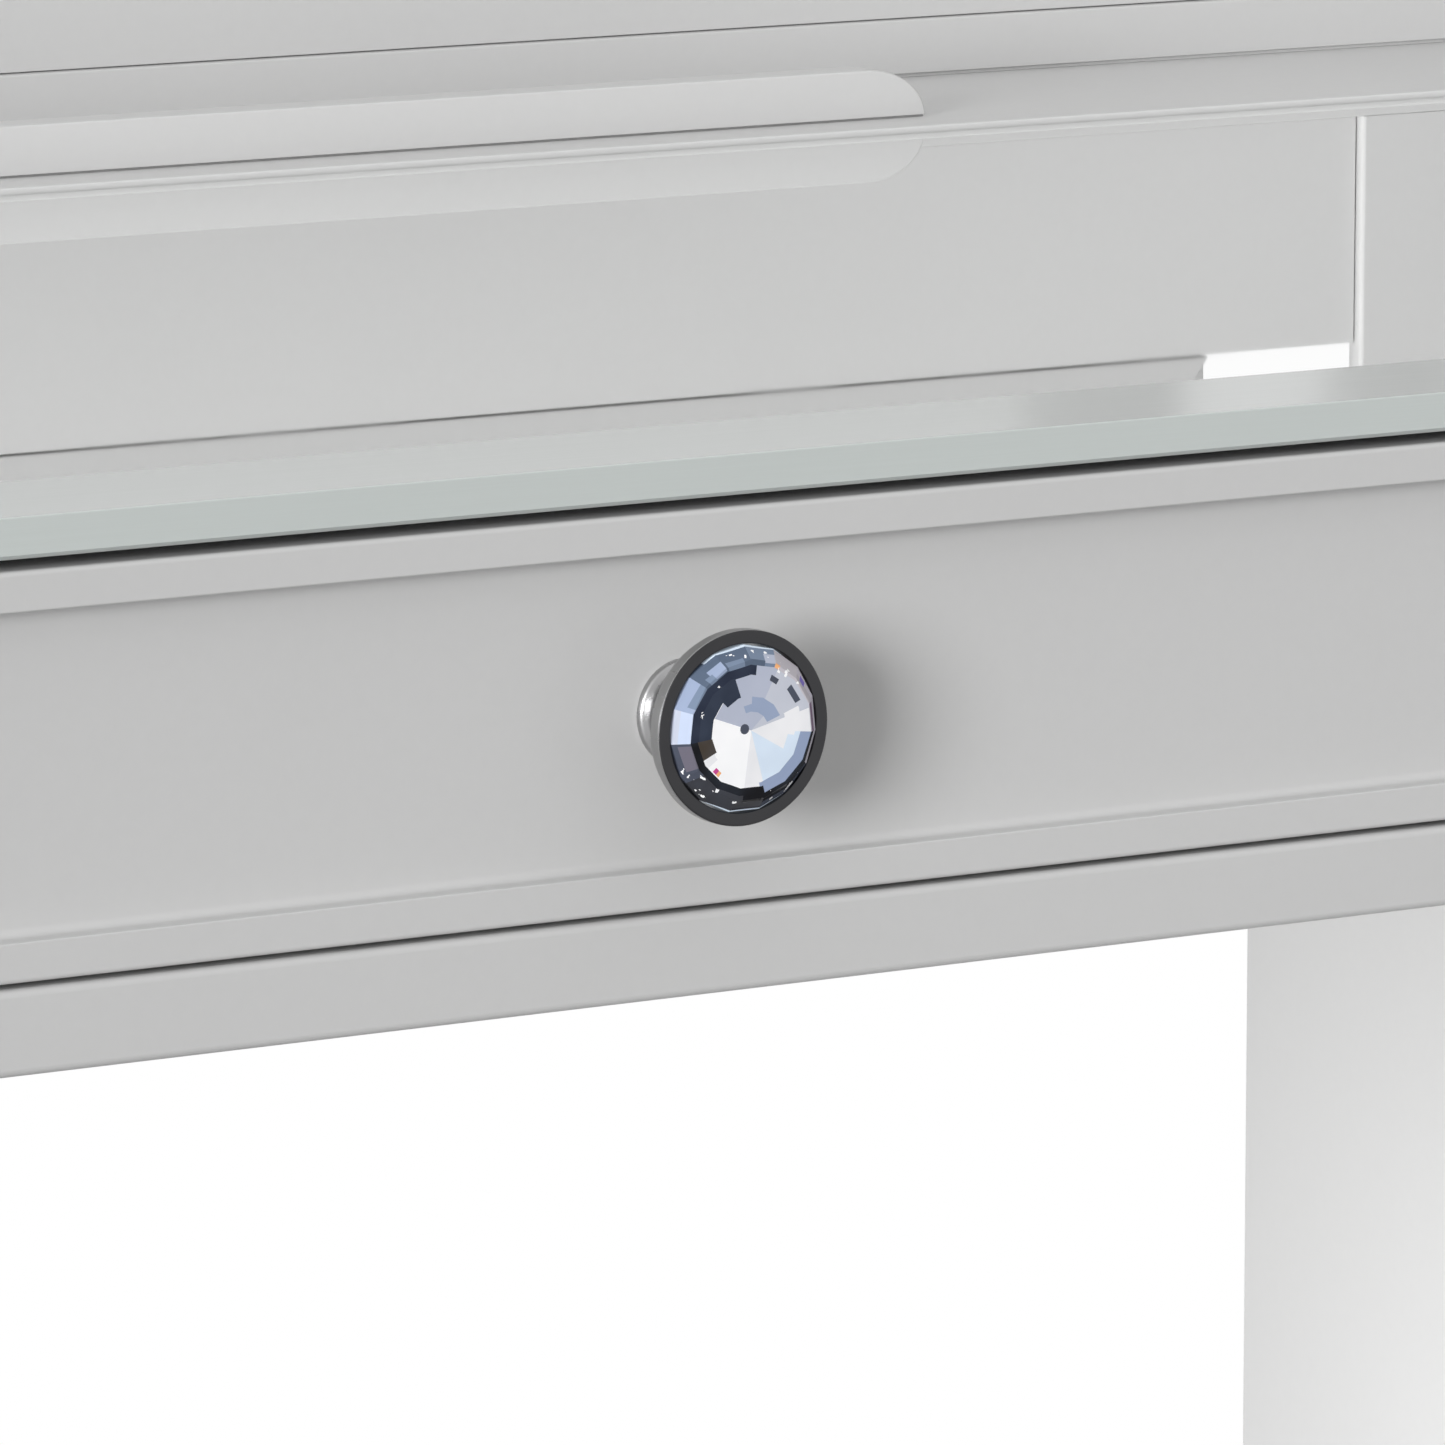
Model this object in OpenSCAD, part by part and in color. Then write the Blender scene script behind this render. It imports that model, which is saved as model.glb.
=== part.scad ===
// Painted dressing table: a shallow row of three drawers under a mirror-backed glass top, carried by
// two full-depth side slabs, with a swing mirror between two posts along the back edge.
// X runs to the right, Y to the back and Z up. The origin is the middle of the footprint on the floor.

/* [Table] */
// Height of the glass top above the floor
table_h = 760; // [700:1:800]
// Width over the two side slabs
table_w = 984; // [940:1:1100]
// Depth from the drawer fronts to the back edges of the side slabs
table_d = 503; // [490:1:560]
// Thickness of a side slab
side_t = 35.5; // [34:0.5:44]
// Thickness of the board under the drawers, whose front edge shows as a rail
board_t = 14; // [12:0.5:20]
// Thickness of the sub-top that carries the glass
sub_top_t = 12; // [10:0.5:14]
// Thickness of the panel behind the drawers
back_panel_t = 12; // [8:0.5:16]
// Thickness of a divider between two drawers
divider_t = 15; // [12:0.5:18]
// Depth of the housing that a divider stands in
housing_d = 3; // [2:0.5:4]

/* [Glass top] */
// Thickness of the glass
glass_t = 8; // [6:0.5:10]
// Width of the ground bevel round the three open edges
bevel_w = 27; // [15:0.5:30]
// Drop of the bevel at the edge
bevel_drop = 1.3; // [0.8:0.1:2]
// Size of the ground arris under the edge
glass_arris = 0.7; // [0.4:0.1:1]
// Depth of the painted strip behind the glass
strip_d = 132; // [120:1:150]
// How far that strip stands above the glass
strip_up = 1.4; // [0.8:0.1:3]
// Joint between the glass and the rear strip
glass_joint = 0.5; // [0.3:0.1:1]
// Arris along the front edge of the rear strip
strip_arris = 0.5; // [0.3:0.1:0.7]

/* [Drawer fronts] */
// Width of the middle drawer front
centre_front_w = 440; // [380:1:480]
// Height of a drawer front
front_h = 65; // [62:0.5:90]
// Thickness of a drawer front
front_t = 16; // [14:0.5:20]
// Width of the raised border round a drawer front
border_w = 6.5; // [4:0.5:12]
// Depth of the sunk panel inside the border
recess_d = 4.5; // [2:0.5:5]
// Gap beside a drawer front
front_gap = 2; // [1:0.5:3]
// Gap between a drawer front and the glass
glass_gap = 1.8; // [1:0.1:3]
// Gap between a drawer front and the board under it
board_gap = 0.9; // [0.5:0.1:2]
// Distance between the drawer fronts and what stands behind them
behind_gap = 2; // [1:0.5:4]

/* [Drawer boxes] */
// Space between a drawer box and the back panel
box_rear_gap = 75; // [50:1:100]
// Thickness of the box sides and back
box_t = 12; // [11:0.5:14]
// Height of wood over and under the dowels of a box side
box_dowel_wall = 4; // [3:0.5:6]
// Thickness of the drawer bottom
bottom_t = 5; // [4:0.5:6]
// Height of the bottom panel's groove above the lower edge of the sides
groove_z = 6; // [5:0.5:8]
// Depth of the grooves for the bottom and the back
groove_d = 4; // [3:0.5:5]
// Wood left behind the box back
back_inset = 10; // [8:0.5:14]
// Gap over a drawer box
box_top_gap = 1.5; // [1:0.1:4]
// Clearance of a panel in its groove
groove_play = 0.1; // [0.05:0.05:0.2]
// Thickness of a glide tape
tape_t = 1; // [0.5:0.1:2]
// Width of a glide tape
tape_w = 10; // [8:0.5:11]
// Gap between a sliding face and its glide
run_gap = 0.3; // [0.3:0.1:0.6]

/* [Knobs] */
// Outer radius of the bezel
knob_r = 16; // [14:0.5:18]
// Distance from the sunk panel to the bezel face
knob_reach = 18.5; // [17:0.5:26]
// How far the knob sits below the middle of the drawer front
knob_drop = 1.2; // [0:0.1:4]
// Radius of the crystal at the bezel
crystal_r = 13.7; // [12.7:0.1:13.8]
// Radius of the flat table of the crystal
crystal_table_r = 11.5; // [8:0.1:12]
// Height of the crystal above the bezel face
crystal_crown_h = 2.2; // [1:0.1:3]
// Number of facets round the crystal
crystal_facets = 15; // [12:1:24]
// Depth of the crystal behind its girdle
crystal_pavilion_h = 6.5; // [5:0.5:7]
// Radius of the crystal's tip
crystal_tip_r = 1.5; // [1:0.1:2]
// Depth of the bezel ring
bezel_h = 2.5; // [2:0.1:3]
// Radius of the rosette against the drawer front
rosette_r = 9; // [7:0.5:10]
// Thickness of the rosette
rosette_t = 2; // [1:0.1:2.5]
// Radius of the neck
neck_r = 4.2; // [4:0.1:5]
// Length of the neck in front of the rosette
neck_l = 3; // [2:0.5:6]
// Radius of the knob screw
screw_r = 2; // [1.5:0.1:2]
// Radius of the knob screw's head
screw_head_r = 4; // [3.5:0.1:5]
// Height of the knob screw's head
screw_head_h = 2.6; // [2:0.1:3]
// How far the knob screw reaches into the knob
screw_reach = 7; // [6:0.5:8]

/* [Mirror stand] */
// Depth of the base board along the back edge
base_d = 50.5; // [40:0.5:55]
// Height of the base board
base_h = 12.5; // [12:0.5:20]
// Height of the shadow groove at the foot of the base board
base_groove_h = 0.9; // [0.5:0.1:1.5]
// Height of the shadow groove at the foot of the fascia and the ledge bar
foot_groove_h = 0.5; // [0.3:0.1:1]
// Depth of the shadow grooves
groove_in = 1; // [0.5:0.1:2]
// Height of the fascia above the base board
fascia_h = 50.7; // [40:0.1:60]
// Thickness of the fascia
fascia_t = 16; // [12:0.5:20]
// Set-back of the fascia from the front of the posts
fascia_setback = 2.3; // [1:0.1:5]
// Gap between the fascia and a post
fascia_gap = 1; // [0.5:0.1:2]
// Width of a post
post_w = 40.7; // [34:0.1:44]
// Thickness of a post
post_t = 16; // [15:0.5:20]
// Height of a post above the pivot
post_over = 35; // [30:1:60]
// Radius of the corners at the top of a post
post_round = 14; // [6:1:16]
// Chamfer on the back inner corner of a post
post_chamfer = 11.5; // [6:0.5:12]
// Distance from the upper end of that chamfer to the pivot
post_chamfer_gap = 81; // [40:1:120]

/* [Ledge bar] */
// Distance from the ledge bar to the base board behind it
ledge_gap = 57; // [30:0.5:60]
// Length of the ledge bar
ledge_w = 585; // [400:1:800]
// Depth of the ledge bar
ledge_d = 9.6; // [8:0.1:14]
// Height of the ledge bar
ledge_h = 10.3; // [8:0.1:14]
// Length of the rounded part at each end of the ledge bar
ledge_round_w = 14; // [8:0.5:20]

/* [Swing mirror] */
// Height of the mirror frame
frame_h = 600; // [580:1:620]
// Width of a frame member
frame_w = 45; // [35:0.5:60]
// Thickness of a frame member
frame_t = 16; // [15:0.5:20]
// Gap between the frame and a post
frame_side_gap = 38.5; // [30:0.5:60]
// Gap between the frame and the fascia
frame_foot_gap = 0.7; // [0.6:0.1:2]
// Set-back of the frame from the front of the posts
frame_setback = 1; // [0:0.1:1.5]
// Width of the bevel round the outside of the frame
frame_bevel_w = 10; // [5:0.5:12]
// Depth of that bevel
frame_bevel_d = 3; // [1:0.5:4]
// How far the outer edges of the stiles stand back from the ends of the rails
stile_trim = 1.5; // [0:0.1:3]
// Width of the rebate that holds the mirror
rebate_w = 8; // [6:0.5:10]
// Thickness of wood in front of the mirror
rebate_lip = 7; // [5:0.5:7]
// Thickness of the mirror pane
pane_t = 4; // [3:0.5:4]
// Thickness of the backing panel
backing_t = 4; // [3:0.5:4]
// Clearance round the mirror pane
pane_play = 0.5; // [0.3:0.1:1]

/* [Pivots] */
// Height of the pivot above the middle of the mirror frame
pivot_lift = 8; // [0:1:20]
// Radius of a pivot pin
pin_r = 3; // [2.5:0.1:3.2]
// Running clearance round a pivot pin
pin_play = 0.05; // [0.03:0.01:0.08]
// Depth of a pivot pin in its stile
pin_in = 24; // [18:1:26]
// Outer radius of a pivot bush
bush_r = 4.5; // [4.2:0.1:5]
// Outer radius of a spacer sleeve
sleeve_r = 7; // [5:0.5:7.5]
// Radius of a tilt knob
tilt_knob_r = 13; // [10:0.5:16]
// Length of a tilt knob
tilt_knob_l = 16; // [14:0.5:20]

/* [Joinery] */
// Radius of a dowel
dowel_r = 3; // [2.5:0.1:3]
// Length of a dowel on each side of a carcass joint
dowel_half_l = 16; // [12:1:20]
// Depth of a dowel in a drawer front
front_dowel_in = 7; // [5:0.5:8]
// Clearance round a dowel or a screw in its hole
hole_play = 0.1; // [0.05:0.05:0.2]
// Space left at the end of a blind hole
hole_end = 1; // [0.5:0.1:2]
// Radius of a screw that holds the mirror stand
stand_screw_r = 2.5; // [2:0.1:3]
// Radius of the head of that screw
stand_screw_head_r = 5; // [4:0.5:6]
// Thickness of the head of that screw
stand_screw_head_h = 2; // [1.5:0.1:3]
// How far that screw reaches into the base board
stand_screw_reach = 9; // [6:0.5:10]
// Height of a floor glide
glide_h = 4; // [3:0.5:6]
// Radius of a floor glide
glide_r = 14; // [10:0.5:16]
// Radius of the pin on a floor glide
glide_pin_r = 2; // [1.5:0.1:3]
// Length of the pin on a floor glide
glide_pin_l = 12; // [8:1:20]

/* [Hidden] */
// Overrun of every cut, and the smoothness of round parts
cut_over = 1;
round_fn = 48;

// Heights of the carcass, worked down from the glass top
glass_z = table_h - glass_t;
strip_top_z = table_h + strip_up;
front_z = glass_z - glass_gap - front_h;
board_top_z = front_z - board_gap;
board_z = board_top_z - board_t;
sub_top_z = glass_z - sub_top_t;
clear_h = sub_top_z - board_top_z;

// Depths of the carcass, from the plane of the drawer fronts
knob_out = knob_reach + crystal_crown_h - recess_d;
face_y = (knob_out - table_d) / 2;
back_y = face_y + table_d;
behind_y = face_y + front_t + behind_gap;
panel_y = back_y - back_panel_t;
strip_y = back_y - strip_d;
glass_d = strip_y - glass_joint - face_y;
run_l = panel_y - behind_y;

// Widths of the carcass, from the middle
half_w = table_w / 2;
inner_x = half_w - side_t;
divider_x = (centre_front_w + front_gap) / 2;
side_front_w = inner_x - centre_front_w / 2 - 2 * front_gap;
side_front_x = inner_x - front_gap - side_front_w / 2;

// Drawers are numbered -1 on the left, 0 in the middle and 1 on the right
sides = [-1, 1];
drawers = [-1, 0, 1];
function front_w(n) = n == 0 ? centre_front_w : side_front_w;
function front_x(n) = n * side_front_x;
bay_inner_x = divider_x + divider_t / 2 + front_gap;
bay_outer_x = inner_x - front_gap;
function box_w(n) = n == 0 ? 2 * (divider_x - divider_t / 2 - front_gap) : bay_outer_x - bay_inner_x;
function box_x(n) = n * (bay_inner_x + bay_outer_x) / 2;
box_y = face_y + front_t;
box_z = board_top_z + tape_t + run_gap;
box_h = clear_h - tape_t - run_gap - box_top_gap;
box_end_y = panel_y - box_rear_gap;
box_back_y = box_end_y - back_inset - box_t;
bottom_z = box_z + groove_z;
bottom_top_z = bottom_z + bottom_t;
box_dowel_zs = [bottom_top_z + box_dowel_wall + dowel_r, box_z + box_h - box_dowel_wall - dowel_r];
tape_inset_share = 0.04;
carcass_dowel_shares = [0.12, 0.5, 0.88];

// Knob heights, measured outwards from the sunk panel
knob_z = front_z + front_h / 2 - knob_drop;
knob_foot_y = face_y + recess_d;
web_t = front_t - recess_d;
girdle_z = knob_reach - bezel_h;
flange_t = bezel_h / 5;
rim_wall = (knob_r - crystal_r) / 5;
tip_z = girdle_z - crystal_pavilion_h;
seat_play = pane_play / 2;
rosette_round = rosette_t / 2;

// Mirror stand
base_y = back_y - base_d;
base_top_z = strip_top_z + base_h;
fascia_y = base_y + fascia_setback;
fascia_w = 2 * (half_w - post_w - fascia_gap);
fascia_top_z = base_top_z + fascia_h;
post_x = half_w - post_w / 2;
post_inner_x = half_w - post_w;
pivot_y = base_y + post_t / 2;
ledge_y = base_y - ledge_gap - ledge_d;

// Swing mirror
frame_outer_w = 2 * (post_inner_x - frame_side_gap);
stile_x = frame_outer_w / 2 - stile_trim;
stile_gap = post_inner_x - stile_x;
frame_z = fascia_top_z + frame_foot_gap;
frame_mid_z = frame_z + frame_h / 2;
frame_y = base_y + frame_setback;
pivot_z = frame_mid_z + pivot_lift;
post_h = pivot_z + post_over - base_top_z;
post_chamfer_l = pivot_z - post_chamfer_gap - base_top_z;
pane_y = frame_y + rebate_lip;
pane_w = frame_outer_w - 2 * (frame_w - rebate_w + pane_play);
pane_h = frame_h - 2 * (frame_w - rebate_w + pane_play);
tilt_knob_bore_l = tilt_knob_l * 3 / 4;

// Places of the fasteners under the mirror stand and of the floor glides
stand_screw_shares = [-0.7, -0.25, 0.25, 0.7];
stand_screw_y = back_y - base_d / 2;
stand_screw_z = sub_top_z;
stand_screw_l = strip_top_z - stand_screw_z + stand_screw_reach;
post_dowel_share = 0.24;
glide_inset_share = 0.09;

paint = "#c8c8c8";
lining = "#d9d2c3";
beech = "#d8bd93";
nickel = "#8d8d90";
steel = "#a4a6a8";
mirror_tone = "#c3cdca";

// A board between two opposite corners
module board(low, high) {
  translate(low) cube(high - low);
}

// A round bar or hole along X, from x0 to x1
module rod_x(r, x0, x1) {
  translate([x0, 0, 0]) rotate([0, 90, 0]) cylinder(r = r, h = x1 - x0, $fn = round_fn);
}

// A round bar or hole along Y, from y0 to y1
module rod_y(r, y0, y1) {
  translate([0, y0, 0]) rotate([-90, 0, 0]) cylinder(r = r, h = y1 - y0, $fn = round_fn);
}

// Places of the dowels that tie the sub-top and the bottom board to the slabs
module at_carcass_dowels(side) {
  for (share = carcass_dowel_shares)
    for (z = [board_z + board_t / 2, sub_top_z + sub_top_t / 2])
      translate([side * inner_x, behind_y + share * run_l, z]) children();
}

// A carcass dowel, or its two holes when play is given
module carcass_dowel(play, end) {
  rod_x(dowel_r + play, -dowel_half_l - end, dowel_half_l + end);
}

module at_floor_glides(side) {
  for (share = [glide_inset_share, 1 - glide_inset_share])
    translate([side * (half_w - side_t / 2), face_y + share * table_d, 0]) children();
}

// Side slab: full depth, from the floor glides to the underside of the glass
module side_slab(side) {
  x0 = side < 0 ? -half_w : inner_x;
  color(paint) difference() {
    board([x0, face_y, glide_h], [x0 + side_t, back_y, glass_z]);
    at_carcass_dowels(side) carcass_dowel(hole_play, hole_end);
    at_floor_glides(side)
      cylinder(r = glide_pin_r + hole_play, h = glide_h + glide_pin_l + hole_end, $fn = round_fn);
  }
}

// Grooves that the dividers stand in, between two heights
module divider_housings(z0, z1) {
  for (side = sides)
    board([side * divider_x - divider_t / 2, behind_y - cut_over, z0],
          [side * divider_x + divider_t / 2, panel_y + cut_over, z1]);
}

// Board under the drawers; its front edge is the rail that shows
module bottom_board() {
  color(paint) difference() {
    board([-inner_x, face_y, board_z], [inner_x, panel_y, board_top_z]);
    translate([0, cut_over, 0])
      divider_housings(board_top_z - housing_d, board_top_z + cut_over);
    for (side = sides) at_carcass_dowels(side) carcass_dowel(hole_play, hole_end);
  }
}

// Places of the screws that hold the mirror stand from below
module at_stand_screws() {
  for (share = stand_screw_shares)
    translate([share * half_w, stand_screw_y, stand_screw_z]) children();
}

// Sub-top under the glass and the rear strip
module sub_top() {
  color(paint) difference() {
    board([-inner_x, behind_y, sub_top_z], [inner_x, panel_y, glass_z]);
    divider_housings(sub_top_z - cut_over, sub_top_z + housing_d);
    for (side = sides) at_carcass_dowels(side) carcass_dowel(hole_play, hole_end);
    at_stand_screws() stand_screw_hole();
  }
}

module divider(side) {
  color(paint)
    board([side * divider_x - divider_t / 2, behind_y, board_top_z - housing_d],
          [side * divider_x + divider_t / 2, panel_y, sub_top_z + housing_d]);
}

// Panel behind the drawers, between the slabs
module back_panel() {
  color(paint) board([-inner_x, panel_y, board_z], [inner_x, back_y, glass_z]);
}

// Painted strip behind the glass, standing a little above it, under the mirror stand
module rear_strip() {
  color(paint) difference() {
    board([-half_w, strip_y, glass_z], [half_w, back_y, strip_top_z]);
    translate([0, strip_y, strip_top_z]) rotate([45, 0, 0])
      cube([table_w + cut_over, strip_arris * sqrt(2), strip_arris * sqrt(2)], center = true);
    at_stand_screws() stand_screw_hole();
  }
}

// Wedge that grinds one edge of the glass, as a section along a straight edge
module bevel_wedge(edge_l) {
  over_drop = bevel_drop * (bevel_w + cut_over) / bevel_w;
  rotate([90, 0, 90]) linear_extrude(height = edge_l, center = true)
    polygon([[-cut_over, -over_drop], [bevel_w, 0], [bevel_w, cut_over], [-cut_over, cut_over]]);
}

// Mirror-backed glass with a ground bevel along its front and both ends
module glass_top() {
  mid_y = face_y + glass_d / 2;
  long_cut = 2 * (table_w + glass_d);
  color(mirror_tone) difference() {
    board([-half_w, face_y, glass_z], [half_w, face_y + glass_d, table_h]);
    translate([0, face_y, table_h]) bevel_wedge(long_cut);
    translate([half_w, mid_y, table_h]) rotate([0, 0, 90]) bevel_wedge(long_cut);
    translate([-half_w, mid_y, table_h]) rotate([0, 0, -90]) bevel_wedge(long_cut);
    translate([0, face_y, glass_z]) rotate([45, 0, 0])
      cube([long_cut, glass_arris * sqrt(2), glass_arris * sqrt(2)], center = true);
  }
}

// Two low-friction tapes under each drawer
module glide_tapes() {
  color("white") for (n = drawers) for (side = sides) {
    mid_x = box_x(n) + side * (box_w(n) - box_t) / 2;
    board([mid_x - tape_w / 2, behind_y + tape_inset_share * run_l, board_top_z],
          [mid_x + tape_w / 2, panel_y - tape_inset_share * run_l, board_top_z + tape_t]);
  }
}

// Nail-on glides under the slabs
module floor_glides() {
  color("white") for (side = sides) at_floor_glides(side) {
    cylinder(r = glide_r, h = glide_h, $fn = round_fn);
    cylinder(r = glide_pin_r, h = glide_h + glide_pin_l, $fn = round_fn);
  }
}

module board_dowels() {
  color(beech) for (side = sides) at_carcass_dowels(side) carcass_dowel(0, 0);
}

// Base board of the mirror stand, with a shadow groove at its foot
module mirror_base() {
  color(paint) difference() {
    board([-half_w, base_y, strip_top_z], [half_w, back_y, base_top_z]);
    board([-half_w - cut_over, base_y - cut_over, strip_top_z - cut_over],
          [half_w + cut_over, base_y + groove_in, strip_top_z + base_groove_h]);
    at_stand_screws() stand_screw_hole();
    at_post_dowels() post_dowel(hole_play, hole_end);
  }
}

module stand_screws() {
  color(steel) at_stand_screws() {
    translate([0, 0, -stand_screw_head_h])
      cylinder(r = stand_screw_head_r, h = stand_screw_head_h, $fn = round_fn);
    cylinder(r = stand_screw_r, h = stand_screw_l, $fn = round_fn);
  }
}

module stand_screw_hole() {
  translate([0, 0, -cut_over])
    cylinder(r = stand_screw_r + hole_play, h = cut_over + stand_screw_l + hole_end, $fn = round_fn);
}

// Places of the two dowels at the foot of each post
module at_post_dowels() {
  for (side = sides) for (step = sides)
    translate([side * post_x + step * post_dowel_share * post_w, pivot_y, base_top_z]) children();
}

module post_dowel(play, end) {
  foot = base_h - base_groove_h - 2 * hole_end;
  translate([0, 0, -foot - end])
    cylinder(r = dowel_r + play, h = foot + dowel_half_l + 2 * end, $fn = round_fn);
}

module post_dowels() {
  color(beech) at_post_dowels() post_dowel(0, 0);
}

// Low board between the posts, set back from them
module fascia() {
  color(paint) difference() {
    board([-fascia_w / 2, fascia_y, base_top_z], [fascia_w / 2, fascia_y + fascia_t, fascia_top_z]);
    board([-half_w, fascia_y - cut_over, base_top_z - cut_over],
          [half_w, fascia_y + groove_in, base_top_z + foot_groove_h]);
  }
}

// Points of a quarter ellipse, anticlockwise from angle a0
function corner_arc(centre, rx, rz, a0, steps) = [
  for (i = [0 : steps]) let (a = a0 + 90 * i / steps) [centre.x + rx * cos(a), centre.y + rz * sin(a)]
];

// Post with round upper corners and a stopped chamfer on its back inner corner
module post(side) {
  steps = 10;
  low = -post_w / 2 + post_round;
  high = post_h - post_round;
  outline = concat(
    [[-post_w / 2, 0], [post_w / 2, 0]],
    corner_arc([-low, high], post_round, post_round, 0, steps),
    corner_arc([low, high], post_round, post_round, 90, steps)
  );
  color(paint) difference() {
    translate([side * post_x, base_y + post_t, base_top_z])
      rotate([90, 0, 0]) linear_extrude(height = post_t) polygon(outline);
    translate([side * post_inner_x, base_y + post_t, base_top_z - cut_over]) rotate([0, 0, 45])
      translate([-post_chamfer / sqrt(2), -post_chamfer / sqrt(2), 0])
      cube([post_chamfer * sqrt(2), post_chamfer * sqrt(2), post_chamfer_l + cut_over]);
    at_post_dowels() post_dowel(hole_play, hole_end);
    translate([0, pivot_y, pivot_z]) rod_x(bush_r, -half_w - cut_over, half_w + cut_over);
  }
}

// Low rounded bar on the rear strip, in front of the mirror stand
module ledge_bar() {
  steps = 12;
  end_x = ledge_w / 2 - ledge_round_w;
  outline = concat(
    [[-ledge_w / 2, 0], [ledge_w / 2, 0]],
    corner_arc([end_x, 0], ledge_round_w, ledge_h, 0, steps),
    corner_arc([-end_x, 0], ledge_round_w, ledge_h, 90, steps)
  );
  color(paint) difference() {
    translate([0, ledge_y + ledge_d, strip_top_z])
      rotate([90, 0, 0]) linear_extrude(height = ledge_d) polygon(outline);
    board([-half_w, ledge_y - cut_over, strip_top_z - cut_over],
          [half_w, ledge_y + groove_in, strip_top_z + foot_groove_h]);
  }
}

// Bushes that the pivot pins turn in
module pivot_bushes() {
  color("#b99a53") for (side = sides) translate([side * post_x, pivot_y, pivot_z]) difference() {
    rod_x(bush_r, -post_w / 2, post_w / 2);
    rod_x(pin_r + pin_play, -post_w / 2 - cut_over, post_w / 2 + cut_over);
  }
}

// Frame member with mitred ends: outer edge at z = 0, front at y = 0, inner edge upwards.
// A trim takes that much off the outer edge
module frame_member(member_l, trim) {
  half_l = member_l / 2;
  outline = [
    [trim - half_l, trim], [half_l - trim, trim], [half_l - frame_w, frame_w], [frame_w - half_l, frame_w]
  ];
  section = [
    [frame_bevel_d, 0], [frame_t, 0], [frame_t, frame_w - rebate_w],
    [rebate_lip, frame_w - rebate_w], [rebate_lip, frame_w], [0, frame_w], [0, frame_bevel_w]
  ];
  color(paint) intersection() {
    rotate([90, 0, 90]) linear_extrude(height = member_l, center = true) polygon(section);
    translate([0, frame_t + cut_over, 0]) rotate([90, 0, 0])
      linear_extrude(height = frame_t + 2 * cut_over) polygon(outline);
  }
}

module frame_bottom_rail() {
  translate([0, frame_y, frame_z]) frame_member(frame_outer_w, 0);
}

module frame_top_rail() {
  translate([0, frame_y, frame_z + frame_h]) rotate([0, 180, 0]) frame_member(frame_outer_w, 0);
}

// Stile with the blind hole for its pivot pin
module frame_stile(side) {
  color(paint) difference() {
    translate([side * frame_outer_w / 2, frame_y, frame_mid_z]) rotate([0, -90 * side, 0])
      frame_member(frame_h, stile_trim);
    translate([side * stile_x, pivot_y, pivot_z])
      rod_x(pin_r + hole_play / 2, -pin_in - hole_end, pin_in + hole_end);
  }
}

module mirror_pane() {
  color(mirror_tone)
    board([-pane_w / 2, pane_y, frame_mid_z - pane_h / 2],
          [pane_w / 2, pane_y + pane_t, frame_mid_z + pane_h / 2]);
}

module mirror_backing() {
  color(lining)
    board([-pane_w / 2, pane_y + pane_t, frame_mid_z - pane_h / 2],
          [pane_w / 2, pane_y + pane_t + backing_t, frame_mid_z + pane_h / 2]);
}

// Pins from the stiles through the sleeves, the bushes and into the tilt knobs
module pivot_pins() {
  pin_l = pin_in + stile_gap + post_w + run_gap + tilt_knob_bore_l;
  color(steel) for (side = sides) mirror([side < 0 ? 1 : 0, 0, 0])
    translate([stile_x - pin_in, pivot_y, pivot_z]) rod_x(pin_r, 0, pin_l);
}

// Sleeves on the pins that keep the frame clear of the posts
module spacer_sleeves() {
  color(nickel) for (side = sides) mirror([side < 0 ? 1 : 0, 0, 0])
    translate([stile_x, pivot_y, pivot_z]) difference() {
      rod_x(sleeve_r, 0, stile_gap - run_gap);
      rod_x(pin_r + pin_play, -cut_over, stile_gap + cut_over);
    }
}

// Turned knobs on the ends of the pins, outside the posts
module tilt_knobs() {
  waist_share = 0.55;
  neck_share = 0.3;
  dome_share = 0.45;
  dome_z = tilt_knob_l * (1 - dome_share);
  section = concat(
    [[0, 0], [tilt_knob_r * waist_share, 0], [tilt_knob_r * waist_share, tilt_knob_l * neck_share]],
    corner_arc([0, dome_z], tilt_knob_r, tilt_knob_l * dome_share, 0, 10)
  );
  color(nickel) for (side = sides) mirror([side < 0 ? 1 : 0, 0, 0])
    translate([half_w + run_gap, pivot_y, pivot_z]) difference() {
      rotate([0, 90, 0]) rotate_extrude($fn = round_fn) polygon(section);
      rod_x(pin_r + pin_play, -cut_over, tilt_knob_bore_l + hole_end / 2);
    }
}

// Places of the dowels between a drawer front and one box side
module at_box_dowels(n, side) {
  for (z = box_dowel_zs)
    translate([box_x(n) + side * (box_w(n) - box_t) / 2, box_y, z]) children();
}

module box_dowel(play, end) {
  rod_y(dowel_r + play, -front_dowel_in - end / 2, dowel_half_l + end);
}

// Drawer bottom with the given clearance added all round: it slides in grooves on three sides
module bottom_solid(n, play) {
  half = box_w(n) / 2 - box_t + groove_d;
  board([box_x(n) - half - play, box_y - groove_d - play, bottom_z - play],
        [box_x(n) + half + play, box_end_y - groove_play + 2 * play, bottom_top_z + play]);
}

// Back of a drawer box with the given clearance added: it stands on the bottom, housed in the sides
module back_solid(n, play) {
  half = box_w(n) / 2 - box_t + groove_d;
  board([box_x(n) - half - play, box_back_y - play, bottom_top_z + groove_play],
        [box_x(n) + half + play, box_back_y + box_t + play, box_z + box_h + (play > 0 ? cut_over : 0)]);
}

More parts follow.
